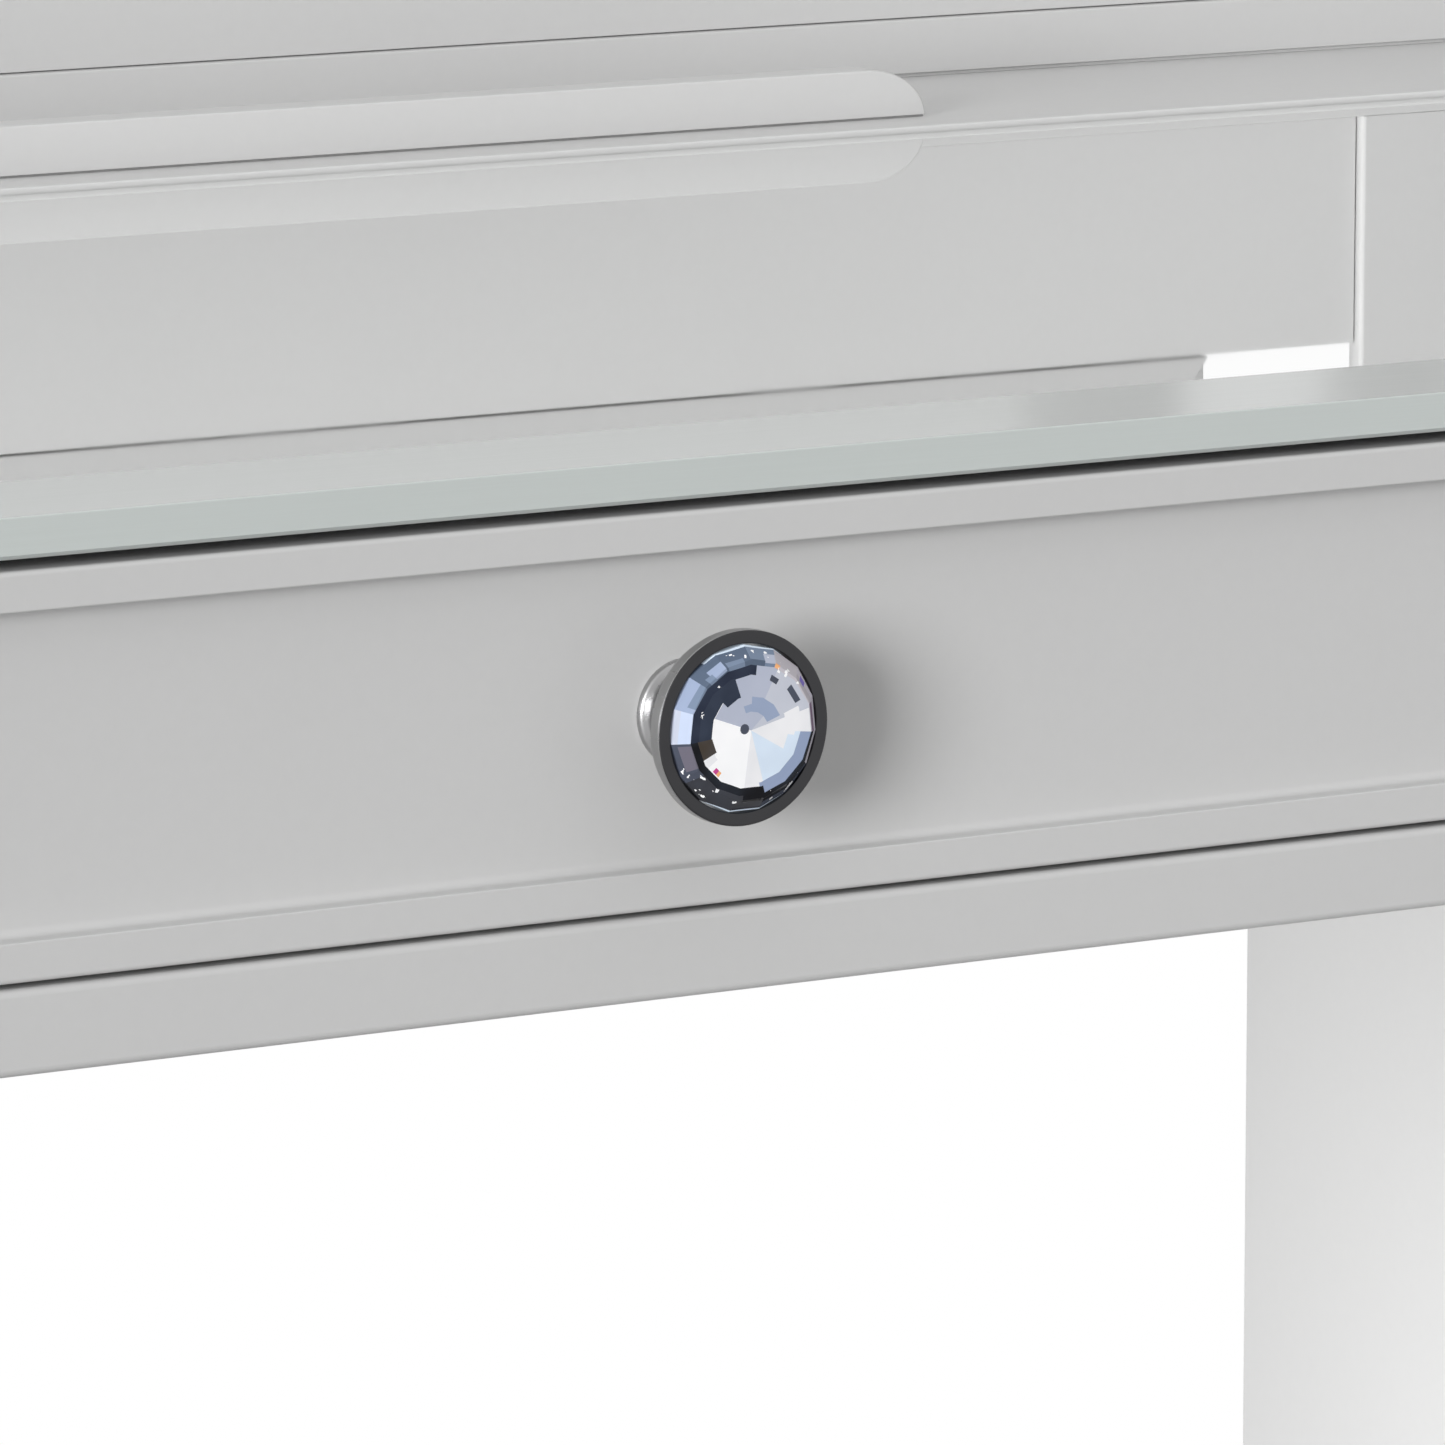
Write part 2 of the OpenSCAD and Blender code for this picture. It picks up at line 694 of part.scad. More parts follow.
// Drawer front: a sunk panel inside a raised border, with the knob screw's hole in the middle
module drawer_front(n) {
  half = front_w(n) / 2;
  color(paint) difference() {
    board([front_x(n) - half, face_y, front_z], [front_x(n) + half, box_y, front_z + front_h]);
    board([front_x(n) - half + border_w, face_y - cut_over, front_z + border_w],
          [front_x(n) + half - border_w, face_y + recess_d, front_z + front_h - border_w]);
    translate([front_x(n), 0, knob_z]) rod_y(screw_r + hole_play, face_y, box_y + cut_over);
    bottom_solid(n, groove_play);
    for (side = sides) at_box_dowels(n, side) box_dowel(hole_play, hole_end);
  }
}

module drawer_side(n, side) {
  mid_x = box_x(n) + side * (box_w(n) - box_t) / 2;
  color(lining) difference() {
    board([mid_x - box_t / 2, box_y, box_z], [mid_x + box_t / 2, box_end_y, box_z + box_h]);
    bottom_solid(n, groove_play);
    back_solid(n, groove_play);
    at_box_dowels(n, side) box_dowel(hole_play, hole_end);
  }
}

module drawer_back(n) {
  color(lining) back_solid(n, 0);
}

module drawer_bottom(n) {
  color(lining) bottom_solid(n, 0);
}

module drawer_dowels(n) {
  color(beech) for (side = sides) at_box_dowels(n, side) box_dowel(0, 0);
}

// Puts a knob piece on its drawer: its own z axis points out of the sunk panel
module at_knob(n) {
  translate([front_x(n), knob_foot_y, knob_z]) rotate([90, 0, 0]) children();
}

// Rosette, neck and tapering cup, with the seat for the crystal and the blind screw hole
module knob_base(n) {
  neck_z = rosette_t + neck_l;
  seat_r = crystal_tip_r + seat_play;
  section = [
    [0, 0], [rosette_r, 0], [rosette_r, rosette_t - rosette_round],
    [rosette_r - rosette_round, rosette_t], [neck_r, rosette_t], [neck_r, neck_z],
    [knob_r - rim_wall, girdle_z - flange_t], [knob_r - rim_wall, girdle_z],
    [crystal_r, girdle_z], [seat_r, tip_z - seat_play], [0, tip_z - seat_play]
  ];
  color(nickel) at_knob(n) difference() {
    rotate_extrude($fn = round_fn) polygon(section);
    translate([0, 0, -cut_over])
      cylinder(r = screw_r + hole_play / 2, h = screw_reach + cut_over + hole_end / 2, $fn = round_fn);
  }
}

// Ring round the crystal
module knob_bezel(n) {
  color(nickel) at_knob(n) translate([0, 0, girdle_z]) difference() {
    cylinder(r = knob_r, h = bezel_h, $fn = round_fn);
    translate([0, 0, -cut_over])
      cylinder(r = crystal_r + hole_play, h = bezel_h + 2 * cut_over, $fn = round_fn);
  }
}

// Cut crystal: pointed behind, straight at the girdle and a ring of facets round a flat table.
// Each ring of corners is a regular polygon of the given radius at the given height
module knob_crystal(n) {
  count = crystal_facets;
  rings = [
    [crystal_tip_r, tip_z], [crystal_r, girdle_z],
    [crystal_r, knob_reach], [crystal_table_r, knob_reach + crystal_crown_h]
  ];
  corners = [
    for (ring = rings) for (i = [0 : count - 1]) let (a = 90 + 360 * i / count)
      [ring[0] * cos(a), ring[0] * sin(a), ring[1]]
  ];
  back_face = [for (i = [0 : count - 1]) i];
  table_face = [for (i = [0 : count - 1]) len(corners) - 1 - i];
  facets = [
    for (k = [0 : len(rings) - 2]) for (i = [0 : count - 1]) let (j = (i + 1) % count)
      [k * count + i, (k + 1) * count + i, (k + 1) * count + j, k * count + j]
  ];
  color("#cdd8ee") at_knob(n)
    polyhedron(points = corners, faces = concat([back_face, table_face], facets));
}

// Machine screw from inside the drawer into the knob
module knob_screw(n) {
  color(steel) at_knob(n) translate([0, 0, -web_t]) {
    cylinder(r = screw_r, h = web_t + screw_reach, $fn = round_fn);
    translate([0, 0, -screw_head_h]) cylinder(r = screw_head_r, h = screw_head_h, $fn = round_fn);
  }
}

side_slab(-1);  // side_left
side_slab(1);  // side_right
bottom_board();
sub_top();
rear_strip();
glass_top();
back_panel();
divider(-1);  // divider_left
divider(1);  // divider_right
glide_tapes();
floor_glides();
board_dowels();
mirror_base();
fascia();
post(-1);  // post_left
post(1);  // post_right
ledge_bar();
pivot_bushes();
post_dowels();
stand_screws();
frame_bottom_rail();
frame_top_rail();
frame_stile(-1);  // frame_left_stile
frame_stile(1);  // frame_right_stile
mirror_pane();
mirror_backing();
pivot_pins();
spacer_sleeves();
tilt_knobs();
drawer_front(-1);  // drawer_left_front
drawer_side(-1, -1);  // drawer_left_side_a
drawer_side(-1, 1);  // drawer_left_side_b
drawer_back(-1);  // drawer_left_back
drawer_bottom(-1);  // drawer_left_bottom
drawer_dowels(-1);  // drawer_left_dowels
knob_base(-1);  // knob_left_base
knob_bezel(-1);  // knob_left_bezel
knob_crystal(-1);  // knob_left_crystal
knob_screw(-1);  // knob_left_screw
drawer_front(0);  // drawer_centre_front
drawer_side(0, -1);  // drawer_centre_side_a
drawer_side(0, 1);  // drawer_centre_side_b
drawer_back(0);  // drawer_centre_back
drawer_bottom(0);  // drawer_centre_bottom
drawer_dowels(0);  // drawer_centre_dowels
knob_base(0);  // knob_centre_base
knob_bezel(0);  // knob_centre_bezel
knob_crystal(0);  // knob_centre_crystal
knob_screw(0);  // knob_centre_screw
drawer_front(1);  // drawer_right_front
drawer_side(1, -1);  // drawer_right_side_a
drawer_side(1, 1);  // drawer_right_side_b
drawer_back(1);  // drawer_right_back
drawer_bottom(1);  // drawer_right_bottom
drawer_dowels(1);  // drawer_right_dowels
knob_base(1);  // knob_right_base
knob_bezel(1);  // knob_right_bezel
knob_crystal(1);  // knob_right_crystal
knob_screw(1);  // knob_right_screw
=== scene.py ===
"""Painted dressing table with a mirror-backed glass top, crystal knobs and a swing mirror.

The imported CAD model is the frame. Every visible piece is worked out from a node's own box, in metres,
as rings of points: an outline carried along a profile. All soft arrises are part of the meshes.
"""

import math

import bmesh
import bpy
import numpy as np
from bpy.props import FloatProperty, FloatVectorProperty, IntProperty, PointerProperty
from bpy.types import Operator, Panel, PropertyGroup
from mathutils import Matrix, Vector


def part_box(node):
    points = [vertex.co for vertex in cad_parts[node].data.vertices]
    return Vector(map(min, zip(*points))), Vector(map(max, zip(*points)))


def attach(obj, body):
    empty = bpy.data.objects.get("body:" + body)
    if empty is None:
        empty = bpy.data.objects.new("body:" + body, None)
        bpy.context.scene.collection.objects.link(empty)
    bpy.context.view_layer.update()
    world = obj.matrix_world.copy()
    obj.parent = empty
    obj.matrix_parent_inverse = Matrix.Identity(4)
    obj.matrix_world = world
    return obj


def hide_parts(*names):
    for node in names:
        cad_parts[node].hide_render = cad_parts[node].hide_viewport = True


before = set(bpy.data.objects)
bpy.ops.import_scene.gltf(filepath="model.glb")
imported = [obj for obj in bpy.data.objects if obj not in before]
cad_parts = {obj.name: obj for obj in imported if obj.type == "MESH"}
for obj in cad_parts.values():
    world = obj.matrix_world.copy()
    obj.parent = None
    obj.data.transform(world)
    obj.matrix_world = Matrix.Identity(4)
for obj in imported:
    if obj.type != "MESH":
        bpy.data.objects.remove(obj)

bl_info = {
    "name": "Dressing table",
    "version": (1, 0, 0),
    "blender": (4, 5, 0),
    "location": "3D View > Sidebar > Dressing table",
    "description": "Builds the visible pieces of a painted dressing table round its CAD frame",
    "category": "Add Mesh",
}

MM = 0.001
FACETS = 15

# The crystal's map spans this many millimetres, and its pattern of painted reflections is a little taller
# than wide.
CHART = 32.0
CHART_RISE = 1.07

# Colours of the painted reflections that the cuts of a crystal mirror, as linear values.
REFLECTION_PAINT_COLOURS = {
    "black": (0.003, 0.003, 0.005), "navy": (0.012, 0.017, 0.036), "night": (0.020, 0.027, 0.048),
    "coal": (0.034, 0.034, 0.040), "slate": (0.060, 0.068, 0.095), "violet": (0.135, 0.125, 0.160),
    "deep": (0.085, 0.115, 0.170), "steel": (0.170, 0.220, 0.310), "blue": (0.290, 0.350, 0.490),
    "sky": (0.420, 0.490, 0.640), "band": (0.270, 0.330, 0.480), "mist": (0.430, 0.460, 0.560),
    "pearl": (0.520, 0.540, 0.610), "lilac": (0.600, 0.570, 0.640), "rose": (0.520, 0.490, 0.530),
    "mauve": (0.230, 0.150, 0.230), "purple": (0.230, 0.180, 0.560), "orange": (0.850, 0.420, 0.180),
    "magenta": (0.550, 0.040, 0.250), "umber": (0.050, 0.038, 0.028), "ice": (0.640, 0.740, 0.860),
    "cream": (0.800, 0.800, 0.820), "white": (0.930, 0.930, 0.940),
}

# Painted reflections: what the cuts mirror, painted on the crystal as patches. A patch has its start and
# end angle in degrees, counted from the right, its inner and outer distance in millimetres, and its colour.
# Later patches lie over earlier ones.
PAINTED_REFLECTION_PATCHES = (
    (90, 114, 11.2, 14, "deep"), (96, 112, 11.2, 12.6, "steel"),
    (114, 138, 11.2, 14, "deep"), (114, 128, 11.4, 13, "blue"), (126, 133, 11.2, 12.4, "steel"),
    (138, 162, 11.2, 14, "blue"), (138, 158, 11.2, 12.3, "steel"),
    (162, 186, 11.2, 14, "mist"), (162, 186, 11.2, 12.7, "sky"),
    (186, 210, 11.2, 14, "slate"), (188, 208, 11.2, 12.8, "violet"),
    (210, 234, 11.2, 14, "slate"), (216, 234, 11.2, 14, "coal"),
    (234, 258, 11.2, 14, "coal"), (258, 282, 11.2, 14, "coal"), (262, 280, 11.2, 12.4, "black"),
    (282, 306, 11.2, 14, "slate"), (282, 306, 11.2, 12.9, "black"),
    (306, 330, 11.2, 14, "slate"), (306, 330, 11.2, 13, "black"),
    (330, 354, 11.2, 14, "lilac"), (330, 354, 11.2, 12.5, "black"),
    (-6, 18, 11.2, 14, "lilac"), (-6, 16, 11.6, 12.6, "mauve"),
    (18, 66, 11.2, 14, "rose"), (18, 42, 12.6, 14, "lilac"), (30, 37, 12.2, 13.2, "purple"),
    (61, 66, 11.2, 12.0, "orange"),
    (66, 90, 11.2, 14, "steel"), (66, 76, 11.8, 13.2, "mist"), (76, 90, 11.2, 12.2, "deep"),
    (-90, 270, 0, 11.2, "cream"),
    (-75, -10, 0, 11.2, "ice"), (-30, 4, 0, 7.0, "cream"),
    (14, 109, 0, 11.2, "mist"), (14, 42, 0, 11.2, "pearl"), (42, 62, 5, 11.2, "pearl"),
    (20, 110, 3.2, 5.8, "blue"), (88, 109, 4.5, 9.4, "mist"), (109, 137, 0, 6.2, "mist"),
    (137, 160, 0, 7.2, "mist"), (160, 215, 0, 7.6, "white"), (214, 262, 0, 9.9, "white"),
    (10, 20, 6.5, 9.4, "cream"),
    (-80, -6, 9.2, 11.2, "band"), (-30, -6, 8.2, 9.2, "ice"),
    (84, 109, 9.5, 11.2, "navy"), (109, 137, 6.1, 11.2, "night"), (137, 186, 7.3, 11.2, "night"),
    (109, 190, 9.7, 11.2, "navy"), (186, 205, 7.2, 10.0, "umber"), (186, 284, 9.9, 11.2, "black"),
    (-80, -6, 11.2, 11.9, "black"),
    (24, 42, 9.2, 10.3, "slate"), (56, 66, 8.9, 9.9, "slate"),
    (220, 225, 8.8, 9.7, "magenta"), (225, 229, 8.8, 9.7, "orange"),
)

# Painted glints: angles and distances as above, and the noise level above which a painted glint shows.
PAINTED_GLINTS = (
    (114, 195, 9.4, 10.3, 0.66), (204, 300, 11.3, 13.6, 0.66), (60, 112, 12.4, 13.6, 0.62),
    (26, 62, 10.8, 12.4, 0.64), (300, 345, 12.6, 13.6, 0.60), (56, 66, 8.9, 9.9, 0.6),
)

# The radius that stands for a sharp corner.
SHARP = 0.02 * MM
DRAWERS = ("left", "centre", "right")
UP = np.array([0.0, 0.0, 1.0])
RIGHT = np.array([1.0, 0.0, 0.0])
FRONT = np.array([0.0, -1.0, 0.0])
BACK = -FRONT


class TableSizes(PropertyGroup):
    """Small sizes of the finished surfaces, which the CAD frame leaves sharp."""

    arris: FloatProperty(
        name="Arris", description="Radius of the sanded edges of painted boards",
        default=0.9 * MM, min=0.2 * MM, max=3 * MM, unit="LENGTH")
    rail_arris: FloatProperty(
        name="Rail arris", description="Radius of the edges of the board under the drawers",
        default=1.3 * MM, min=0.3 * MM, max=3 * MM, unit="LENGTH")
    fine_arris: FloatProperty(
        name="Fine arris", description="Radius of the edges of small painted parts and of box sides",
        default=0.45 * MM, min=0.1 * MM, max=1 * MM, unit="LENGTH")
    hold: FloatProperty(
        name="Holding strip", description="Width of the strip that keeps a face flat beside its round edge",
        default=0.05 * MM, min=0.01 * MM, max=0.2 * MM, unit="LENGTH")
    edge_steps: IntProperty(
        name="Edge steps", description="Number of faces round a quarter of an edge", default=5, min=2, max=12)
    round_steps: IntProperty(
        name="Round steps", description="Number of faces round a turned part", default=96, min=24, max=192)
    border: FloatProperty(
        name="Border", description="Width of the raised border round a drawer front",
        default=6.5 * MM, min=3 * MM, max=12 * MM, unit="LENGTH")
    recess: FloatProperty(
        name="Recess", description="Depth of the sunk panel of a drawer front",
        default=4.5 * MM, min=2 * MM, max=6 * MM, unit="LENGTH")
    glass_bevel: FloatProperty(
        name="Glass bevel", description="Width of the ground bevel round the glass",
        default=27 * MM, min=10 * MM, max=35 * MM, unit="LENGTH")
    glass_drop: FloatProperty(
        name="Bevel drop", description="How much lower the glass is at its edge",
        default=1.3 * MM, min=0.5 * MM, max=3 * MM, unit="LENGTH")
    glass_arris: FloatProperty(
        name="Glass arris", description="Size of the ground arris under the edge of the glass",
        default=0.7 * MM, min=0.2 * MM, max=1 * MM, unit="LENGTH")


class TableColours(PropertyGroup):
    """Colours of the finishes, as linear values."""

    paint: FloatVectorProperty(
        name="Paint", description="Pale grey satin paint", subtype="COLOR", size=3,
        default=(0.600, 0.600, 0.598), min=0, max=1)
    silver: FloatVectorProperty(
        name="Silvering", description="Tint of the mirror-backed glass", subtype="COLOR", size=3,
        default=(0.955, 0.962, 0.958), min=0, max=1)
    # The ground bevel's colour is partly the glass's green body and partly a painted reflection: its grey
    # stands for the painted boards that the silvered bevel mirrors.
    glass_bevel: FloatVectorProperty(
        name="Ground bevel", description="Bevel of the glass, which shows its green body",
        subtype="COLOR", size=3, default=(0.500, 0.518, 0.508), min=0, max=1)
    glass_edge: FloatVectorProperty(
        name="Glass edge", description="Edge of the glass", subtype="COLOR", size=3,
        default=(0.560, 0.600, 0.585), min=0, max=1)
    # The bezel's front: the knob's nickel painted dark, a painted dark reflection on the same metal as its
    # side.
    bezel_face_painted_dark: FloatVectorProperty(
        name="Bezel face painted dark", description="Front of the bezel round the crystal", subtype="COLOR", size=3,
        default=(0.055, 0.055, 0.058), min=0, max=1)
    nickel: FloatVectorProperty(
        name="Nickel", description="Brushed nickel of the knobs", subtype="COLOR", size=3,
        default=(0.42, 0.42, 0.425), min=0, max=1)
    lining: FloatVectorProperty(
        name="Drawer lining", description="Lacquered wood of the drawer boxes", subtype="COLOR", size=3,
        default=(0.66, 0.56, 0.43), min=0, max=1)


class StageSettings(PropertyGroup):
    """Camera and studio light."""

    focal: FloatProperty(name="Focal length", description="In millimetres", default=250.64, min=50, max=400)
    yaw: FloatProperty(
        name="Camera yaw", description="How far the camera looks to the right of straight back",
        default=math.radians(31.684), subtype="ANGLE")
    pitch: FloatProperty(
        name="Camera pitch", description="How far the camera looks down",
        default=math.radians(9.664), subtype="ANGLE")
    stand_off: FloatVectorProperty(
        name="Camera place", description="Place of the camera from the middle knob's bezel",
        default=(-0.8392, -1.3531, 0.2721), subtype="TRANSLATION")
    horizon: FloatProperty(
        name="Horizon", description="Strength of the sky light near the horizon", default=0.12)
    zenith: FloatProperty(name="Zenith", description="Strength of the sky light overhead", default=1.02)
    key: FloatProperty(name="Key light", description="Strength of the soft light from the left", default=2.85)
    key_angle: FloatProperty(
        name="Key size", description="Angle that the soft light covers",
        default=math.radians(21), subtype="ANGLE")
    key_from: FloatVectorProperty(
        name="Key direction", description="Direction in which the soft light lies",
        default=(-0.84, -0.50, 0.13), subtype="DIRECTION")
    fill: FloatProperty(
        name="Fill light", description="Power of the lamp in the kneehole, in watts", default=0.75)
    fill_place: FloatVectorProperty(
        name="Fill place", description="Place of the lamp in the kneehole", default=(-0.42, 0.08, 0.45),
        subtype="TRANSLATION")
    fill_size: FloatProperty(
        name="Fill size", description="Side of the square lamp", default=0.35, unit="LENGTH")
    fill_spread: FloatProperty(
        name="Fill spread", description="Angle of the lamp's beam, which misses the floor",
        default=math.radians(70), subtype="ANGLE")
    floor_reach: FloatProperty(
        name="Floor", description="Distance to which the floor runs", default=40.0, unit="LENGTH")
    floor_near: FloatProperty(
        name="Floor near", description="Distance at which the floor starts to turn white",
        default=math.sqrt(0.7), unit="LENGTH")
    floor_far: FloatProperty(
        name="Floor far", description="Distance at which the floor is white",
        default=math.sqrt(3.6), unit="LENGTH")


class Wire:
    """A number in a material: arithmetic on it adds Math nodes to the material's tree."""

    def __init__(self, tree, socket):
        self.tree = tree
        self.socket = socket

    def math(self, operation, *values):
        """A Math node of this operation, fed with the given wires or numbers."""
        made = self.tree.nodes.new("ShaderNodeMath")
        made.operation = operation
        for socket, value in zip(made.inputs, values):
            if isinstance(value, Wire):
                self.tree.links.new(value.socket, socket)
            else:
                socket.default_value = value
        return Wire(self.tree, made.outputs[0])

    def __add__(self, other):
        return self.math("ADD", self, other)

    def __radd__(self, other):
        return self.math("ADD", other, self)

    def __sub__(self, other):
        return self.math("SUBTRACT", self, other)

    def __rsub__(self, other):
        return self.math("SUBTRACT", other, self)

    def __mul__(self, other):
        return self.math("MULTIPLY", self, other)

    def __rmul__(self, other):
        return self.math("MULTIPLY", other, self)

    def __lt__(self, other):
        return self.math("LESS_THAN", self, other)

    def __gt__(self, other):
        return self.math("GREATER_THAN", self, other)

    def root(self):
        """The square root."""
        return self.math("SQRT", self)

    def capped(self):
        """The number, but at most 1."""
        return self.math("MINIMUM", self, 1.0)

    def step(self, low, high):
        """0 below low, 1 above high and a smooth rise between them."""
        made = self.tree.nodes.new("ShaderNodeMapRange")
        made.interpolation_type = "SMOOTHSTEP"
        self.tree.links.new(self.socket, made.inputs["Value"])
        made.inputs["From Min"].default_value = low
        made.inputs["From Max"].default_value = high
        return Wire(self.tree, made.outputs["Result"])


class Finish:
    """One material: a Principled shader and the nodes that vary it."""

    made = {}

    def __init__(self, name):
        self.material = bpy.data.materials.new(name)
        self.material.use_nodes = True
        self.tree = self.material.node_tree
        self.shader = self.tree.nodes["Principled BSDF"]
        Finish.made[name] = self.material

    def node(self, kind, settings=None, sockets=None):
        """A node of this type, with its settings set first and then its sockets, given by name or index."""
        made = self.tree.nodes.new(kind)
        for key, value in (settings or {}).items():
            setattr(made, key, value)
        for key, value in (sockets or {}).items():
            if isinstance(value, Wire):
                self.tree.links.new(value.socket, made.inputs[key])
            else:
                made.inputs[key].default_value = value
        return made

    def wire(self, node, output=0):
        return Wire(self.tree, node.outputs[output])

    def place(self, scale=(1, 1, 1)):
        """Object coordinates, stretched."""
        source = self.wire(self.node("ShaderNodeTexCoord"), "Object")
        return self.wire(self.node("ShaderNodeMapping", {"vector_type": "POINT"}, {
            "Vector": source, "Scale": scale}))

    def noise(self, place, scale, detail=2.0, roughness=0.5):
        """Soft noise between 0 and 1."""
        return self.wire(self.node("ShaderNodeTexNoise", {}, {
            "Vector": place, "Scale": scale, "Detail": detail, "Roughness": roughness}))

    def mix(self, share, low, high):
        """A colour between two others."""
        made = self.node("ShaderNodeMix", {"data_type": "RGBA"}, {0: share, 6: low, 7: high})
        return Wire(self.tree, made.outputs[2])

    def axes(self, place):
        """The three parts of a place, as numbers."""
        parts = self.node("ShaderNodeSeparateXYZ", {}, {0: place})
        return [self.wire(parts, i) for i in range(3)]

    def bump(self, height, strength, distance):
        """A normal bent by a height."""
        return self.wire(self.node("ShaderNodeBump", {}, {
            "Height": height, "Strength": strength, "Distance": distance}))

    def set(self, **sockets):
        """Sets the Principled shader: underscores in a name stand for spaces."""
        for key, value in sockets.items():
            socket = self.shader.inputs[key.replace("_", " ")]
            if isinstance(value, Wire):
                self.tree.links.new(value.socket, socket)
            else:
                socket.default_value = value
        return self.material


def tone(colour, factor=1.0):
    """A colour made lighter or darker, with alpha."""
    return (*[min(1.0, c * factor) for c in colour], 1.0)


def paint_finish(name, colour):
    """Sprayed satin paint: an even tone with a slight cloud in it, and a fine orange-peel skin."""
    f = Finish(name)
    here = f.place()
    cloud = f.noise(here, 5.0, 3.0)
    grain = f.noise(f.place((1, 1, 1)), 420.0, 2.0, 0.6)
    skin = f.noise(here, 900.0, 1.0)
    share = (cloud * 0.7 + grain * 0.3).step(0.3, 0.7)
    return f.set(
        Base_Color=f.mix(share, tone(colour, 0.985), tone(colour, 1.012)),
        Roughness=0.34 + grain * 0.10,
        Normal=f.bump(skin * 0.7 + grain * 0.3, 0.10, 0.05 * MM),
        Specular_IOR_Level=0.45,
    )


def silver_finish(name, colour):
    """Silvered glass: a clear mirror with the faintest waviness and a trace of haze."""
    f = Finish(name)
    haze = f.noise(f.place(), 30.0, 3.0).step(0.35, 0.75)
    wave = f.noise(f.place(), 9.0, 1.0)
    return f.set(
        Base_Color=f.mix(haze, tone(colour, 0.995), tone(colour)),
        Metallic=1.0,
        Roughness=0.012 + haze * 0.012,
        Normal=f.bump(wave, 0.05, 0.02 * MM),
    )


def ground_glass_finish(name, colour, rough, metal, streak):
    """Polished ground glass over silvering: a green body colour with streaks along the grinding."""
    f = Finish(name)
    streaks = f.noise(f.place((0.6, 60, 60)), streak, 3.0, 0.6)
    cloud = f.noise(f.place(), 14.0, 2.0)
    share = (streaks * 0.6 + cloud * 0.4).step(0.3, 0.7)
    return f.set(
        Base_Color=f.mix(share, tone(colour, 0.985), tone(colour, 1.015)),
        Metallic=metal,
        Roughness=rough + share * 0.03,
        Normal=f.bump(streaks, 0.012, 0.02 * MM),
    )


def backing_finish(name, colour):
    """Protective paint on the back of silvered glass: dull, with fine mottling."""
    f = Finish(name)
    mottle = f.noise(f.place(), 160.0, 4.0, 0.7)
    return f.set(
        Base_Color=f.mix(mottle, tone(colour, 0.85), tone(colour, 1.1)),
        Roughness=0.55 + mottle * 0.2,
        Normal=f.bump(mottle, 0.2, 0.05 * MM),
    )


def metal_finish(name, colour, rough, stretch):
    """Brushed metal: fine scratches along one direction vary its gloss and its skin."""
    f = Finish(name)
    brush = f.noise(f.place(stretch), 900.0, 3.0, 0.65)
    cloud = f.noise(f.place(), 120.0, 2.0)
    return f.set(
        Base_Color=f.mix(cloud, tone(colour, 0.93), tone(colour, 1.05)),
        Metallic=1.0,
        Roughness=rough + brush * 0.10,
        Normal=f.bump(brush, 0.12, 0.01 * MM),
    )


def wood_finish(name, colour, along):
    """Lacquered wood: long fibres, slow bands of early and late wood, and short dark pores."""
    f = Finish(name)
    stretch = [0.12 if along == i else 1.0 for i in range(3)]
    here = f.place(stretch)
    wander = f.noise(here, 5.0, 2.0)
    bands = f.wire(f.node("ShaderNodeTexNoise", {}, {
        "Vector": here, "Scale": 55.0, "Detail": 4.0, "Roughness": 0.55, "Distortion": 0.4}))
    narrow = f.place([s if along == i else s * 9.0 for i, s in enumerate(stretch)])
    fibres = f.noise(narrow, 160.0, 3.0, 0.7)
    pores = f.noise(here, 900.0, 1.0).step(0.66, 0.74)
    share = (bands * 0.5 + wander * 0.2 + fibres * 0.3).step(0.32, 0.68)
    base = f.mix(share, tone(colour, 0.80), tone(colour, 1.10))
    return f.set(
        Base_Color=f.mix(pores * 0.35, base, tone(colour, 0.45)),
        Roughness=0.42 + fibres * 0.12,
        Normal=f.bump(fibres * 0.6 - pores * 0.4, 0.25, 0.05 * MM),
    )


def plastic_finish(name, colour):
    """Moulded nylon with a fine matt grain."""
    f = Finish(name)
    grain = f.noise(f.place(), 1500.0, 2.0)
    return f.set(
        Base_Color=f.mix(grain, tone(colour, 0.95), tone(colour, 1.03)),
        Roughness=0.48 + grain * 0.1,
        Normal=f.bump(grain, 0.15, 0.03 * MM),
    )


def with_holds(parts, hold):
    """Joins stretches of points into one profile. Each straight run between two stretches gets a point
    at the holding distance from both of its ends, which keeps the run flat when it is shaded."""
    rows = [parts[0]]
    for last, part in zip(parts, parts[1:]):
        run = part[0] - last[-1]
        length = np.linalg.norm(run)
        if length > 3 * hold:
            step = run * hold / length
            rows.append(np.array([last[-1] + step, part[0] - step]))
        rows.append(part)
    return np.concatenate(rows)


def quarter(centre, radius_a, radius_b, start, end, steps):
    """Points of an arc: centre + (radius_a cos t, radius_b sin t) for t from start to end, in degrees."""
    t = np.radians(np.linspace(start, end, steps + 1))
    return np.array(centre) + np.stack([radius_a * np.cos(t), radius_b * np.sin(t)], -1)


def soft_outline(corners, radii, steps, hold):
    """Closed outline with round corners. Each corner p becomes the curve
    (1-s)^2 (p + u r) + 2 s (1-s) p + s^2 (p + v r), where u and v point to its two neighbours."""
    p = np.array(corners, float)
    r = np.broadcast_to(np.array(radii, float), len(p))[:, None, None]
    to_last = np.roll(p, 1, 0) - p
    to_next = np.roll(p, -1, 0) - p
    u = (to_last / np.linalg.norm(to_last, axis=1, keepdims=True))[:, None]
    v = (to_next / np.linalg.norm(to_next, axis=1, keepdims=True))[:, None]
    s = np.linspace(0, 1, steps + 1)[None, :, None]
    q = p[:, None]
    curves = (1 - s) ** 2 * (q + u * r) + 2 * s * (1 - s) * q + s ** 2 * (q + v * r)
    before = q + u * (r + hold)
    after = q + v * (r + hold)
    return np.concatenate([before, curves, after], axis=1).reshape(-1, 2)


